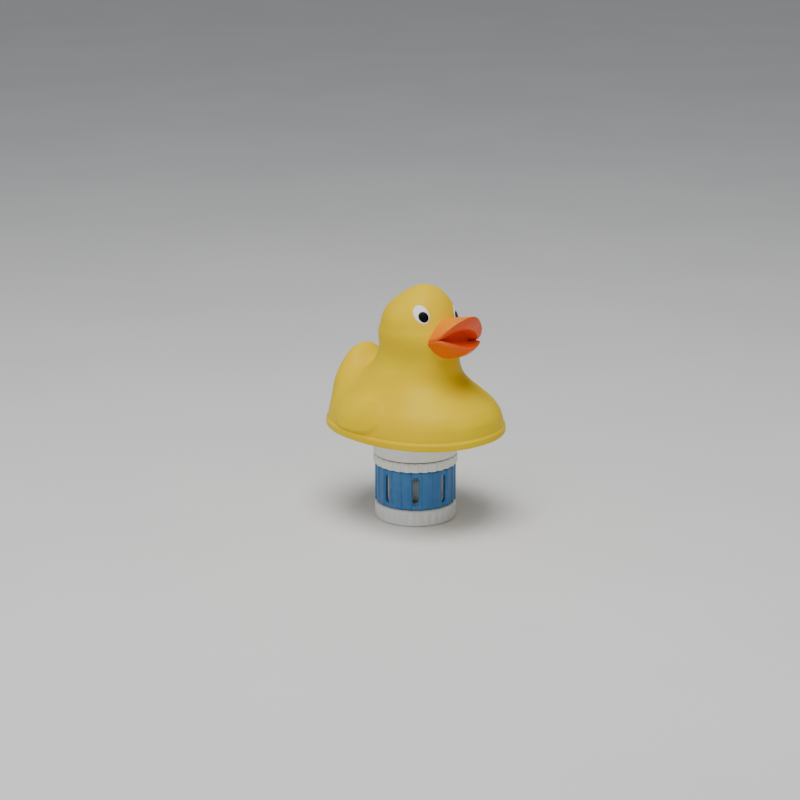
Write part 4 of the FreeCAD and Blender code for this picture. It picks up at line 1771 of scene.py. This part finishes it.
@dataclass
class Studio:
    """A pale floor, soft lights and the camera."""

    deck: float
    target_shift: tuple[float, float] = (-9.3, 15.6)
    distance: float = 1440.0
    azimuth: float = -45.0
    elevation: float = 16.3
    lens: float = 108.0
    floor_reach: float = 2500.0
    daylight: tuple[float, float, float] = (0.92, 0.95, 1.0)
    daylight_strength: float = 0.26
    aim: tuple[float, float, float] = (0.0, 0.0, 0.08)

    def floor(self) -> None:
        """The floor, at the canister's resting face."""
        reach = self.floor_reach
        corners = [(-reach, -reach, 0.0), (reach, -reach, 0.0), (reach, reach, 0.0), (-reach, reach, 0.0)]
        dress(mesh_piece("floor", corners, [(0, 1, 2, 3)], False), FloorCoat().material())

    def lamp(
        self, name: str, place: tuple[float, float, float], size: float, power: float,
        tint: tuple[float, float, float],
    ) -> None:
        """One square soft light, aimed at the duck's middle.

        Args:
            name: The light's name.
            place: Where it hangs, in metres.
            size: Its side, in metres.
            power: Its power, in watts.
            tint: Its colour.
        """
        light = bpy.data.lights.new(name, "AREA")
        light.size, light.energy, light.color = size, power, tint
        lamp = bpy.data.objects.new(name, light)
        lamp.location = place
        lamp.rotation_euler = (Vector(self.aim) - Vector(place)).to_track_quat("-Z", "Y").to_euler()
        bpy.context.scene.collection.objects.link(lamp)

    def lights(self) -> None:
        """A broad light from above and a weaker window at the side."""
        self.lamp("key", (-0.25, -0.15, 1.1), 0.7, 12.0, (1.0, 0.99, 0.97))
        self.lamp("window", (-1.2, -0.4, 0.7), 0.7, 2.0, (0.96, 0.98, 1.0))
        world = bpy.data.worlds.new("room")
        bpy.context.scene.world = world
        world.use_nodes = True
        background = world.node_tree.nodes["Background"]
        background.inputs["Color"].default_value = (*self.daylight, 1.0)
        background.inputs["Strength"].default_value = self.daylight_strength

    def camera(self) -> None:
        """The camera, level with the floor and turned to the duck's right side."""
        turn, rise = math.radians(self.azimuth), math.radians(self.elevation)
        right = Vector((math.cos(turn), math.sin(turn), 0.0))
        away = Vector((-math.sin(turn), math.cos(turn), 0.0))
        back = Vector((0.0, 0.0, math.sin(rise))) - away * math.cos(rise)
        up = away * math.sin(rise) + Vector((0.0, 0.0, math.cos(rise)))
        target = Vector((0.0, 0.0, self.deck)) + right * self.target_shift[0] + up * self.target_shift[1]
        lens = bpy.data.cameras.new("view")
        lens.lens, lens.sensor_width = self.lens, 36.0
        camera = bpy.data.objects.new("view", lens)
        camera.matrix_world = Matrix((right, up, back)).transposed().to_4x4()
        camera.location = (target + back * self.distance) * MM
        bpy.context.scene.collection.objects.link(camera)
        bpy.context.scene.camera = camera

    def build(self) -> None:
        """Sets up everything that isn't the dispenser."""
        self.floor()
        self.lights()
        self.camera()


def dress_frame_nodes(nodes: dict[str, bpy.types.Object], palette: Palette) -> None:
    """Gives each piece that stays as the frame made it the finish for what it's made of.

    Args:
        nodes: The frame's objects by name.
        palette: The finishes.
    """
    kept = {
        "clamp_ring": palette.white, "float_gasket": palette.rubber, "neck_seal": palette.rubber,
        "tablet_tray": palette.white, "drag_ring": palette.rubber, "ballast_ring": palette.zinc,
        "ballast_lid": palette.white,
    }
    for name, finish in kept.items():
        dress(nodes[name], finish)
        LOG.info("%s: kept from the frame, in %s", name, finish.name)


def main() -> None:
    """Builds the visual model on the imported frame."""
    logging.basicConfig(level=logging.INFO, format="%(name)s: %(message)s")
    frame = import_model()
    palette = Palette()
    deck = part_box("float_gasket")[1].z / MM
    dress_frame_nodes(frame["nodes"], palette)
    DuckFloat(palette, deck).build()
    NeckClosure(palette).build()
    TabletCanister(palette).build()
    Studio(deck).build()


if __name__ == "__main__":
    main()
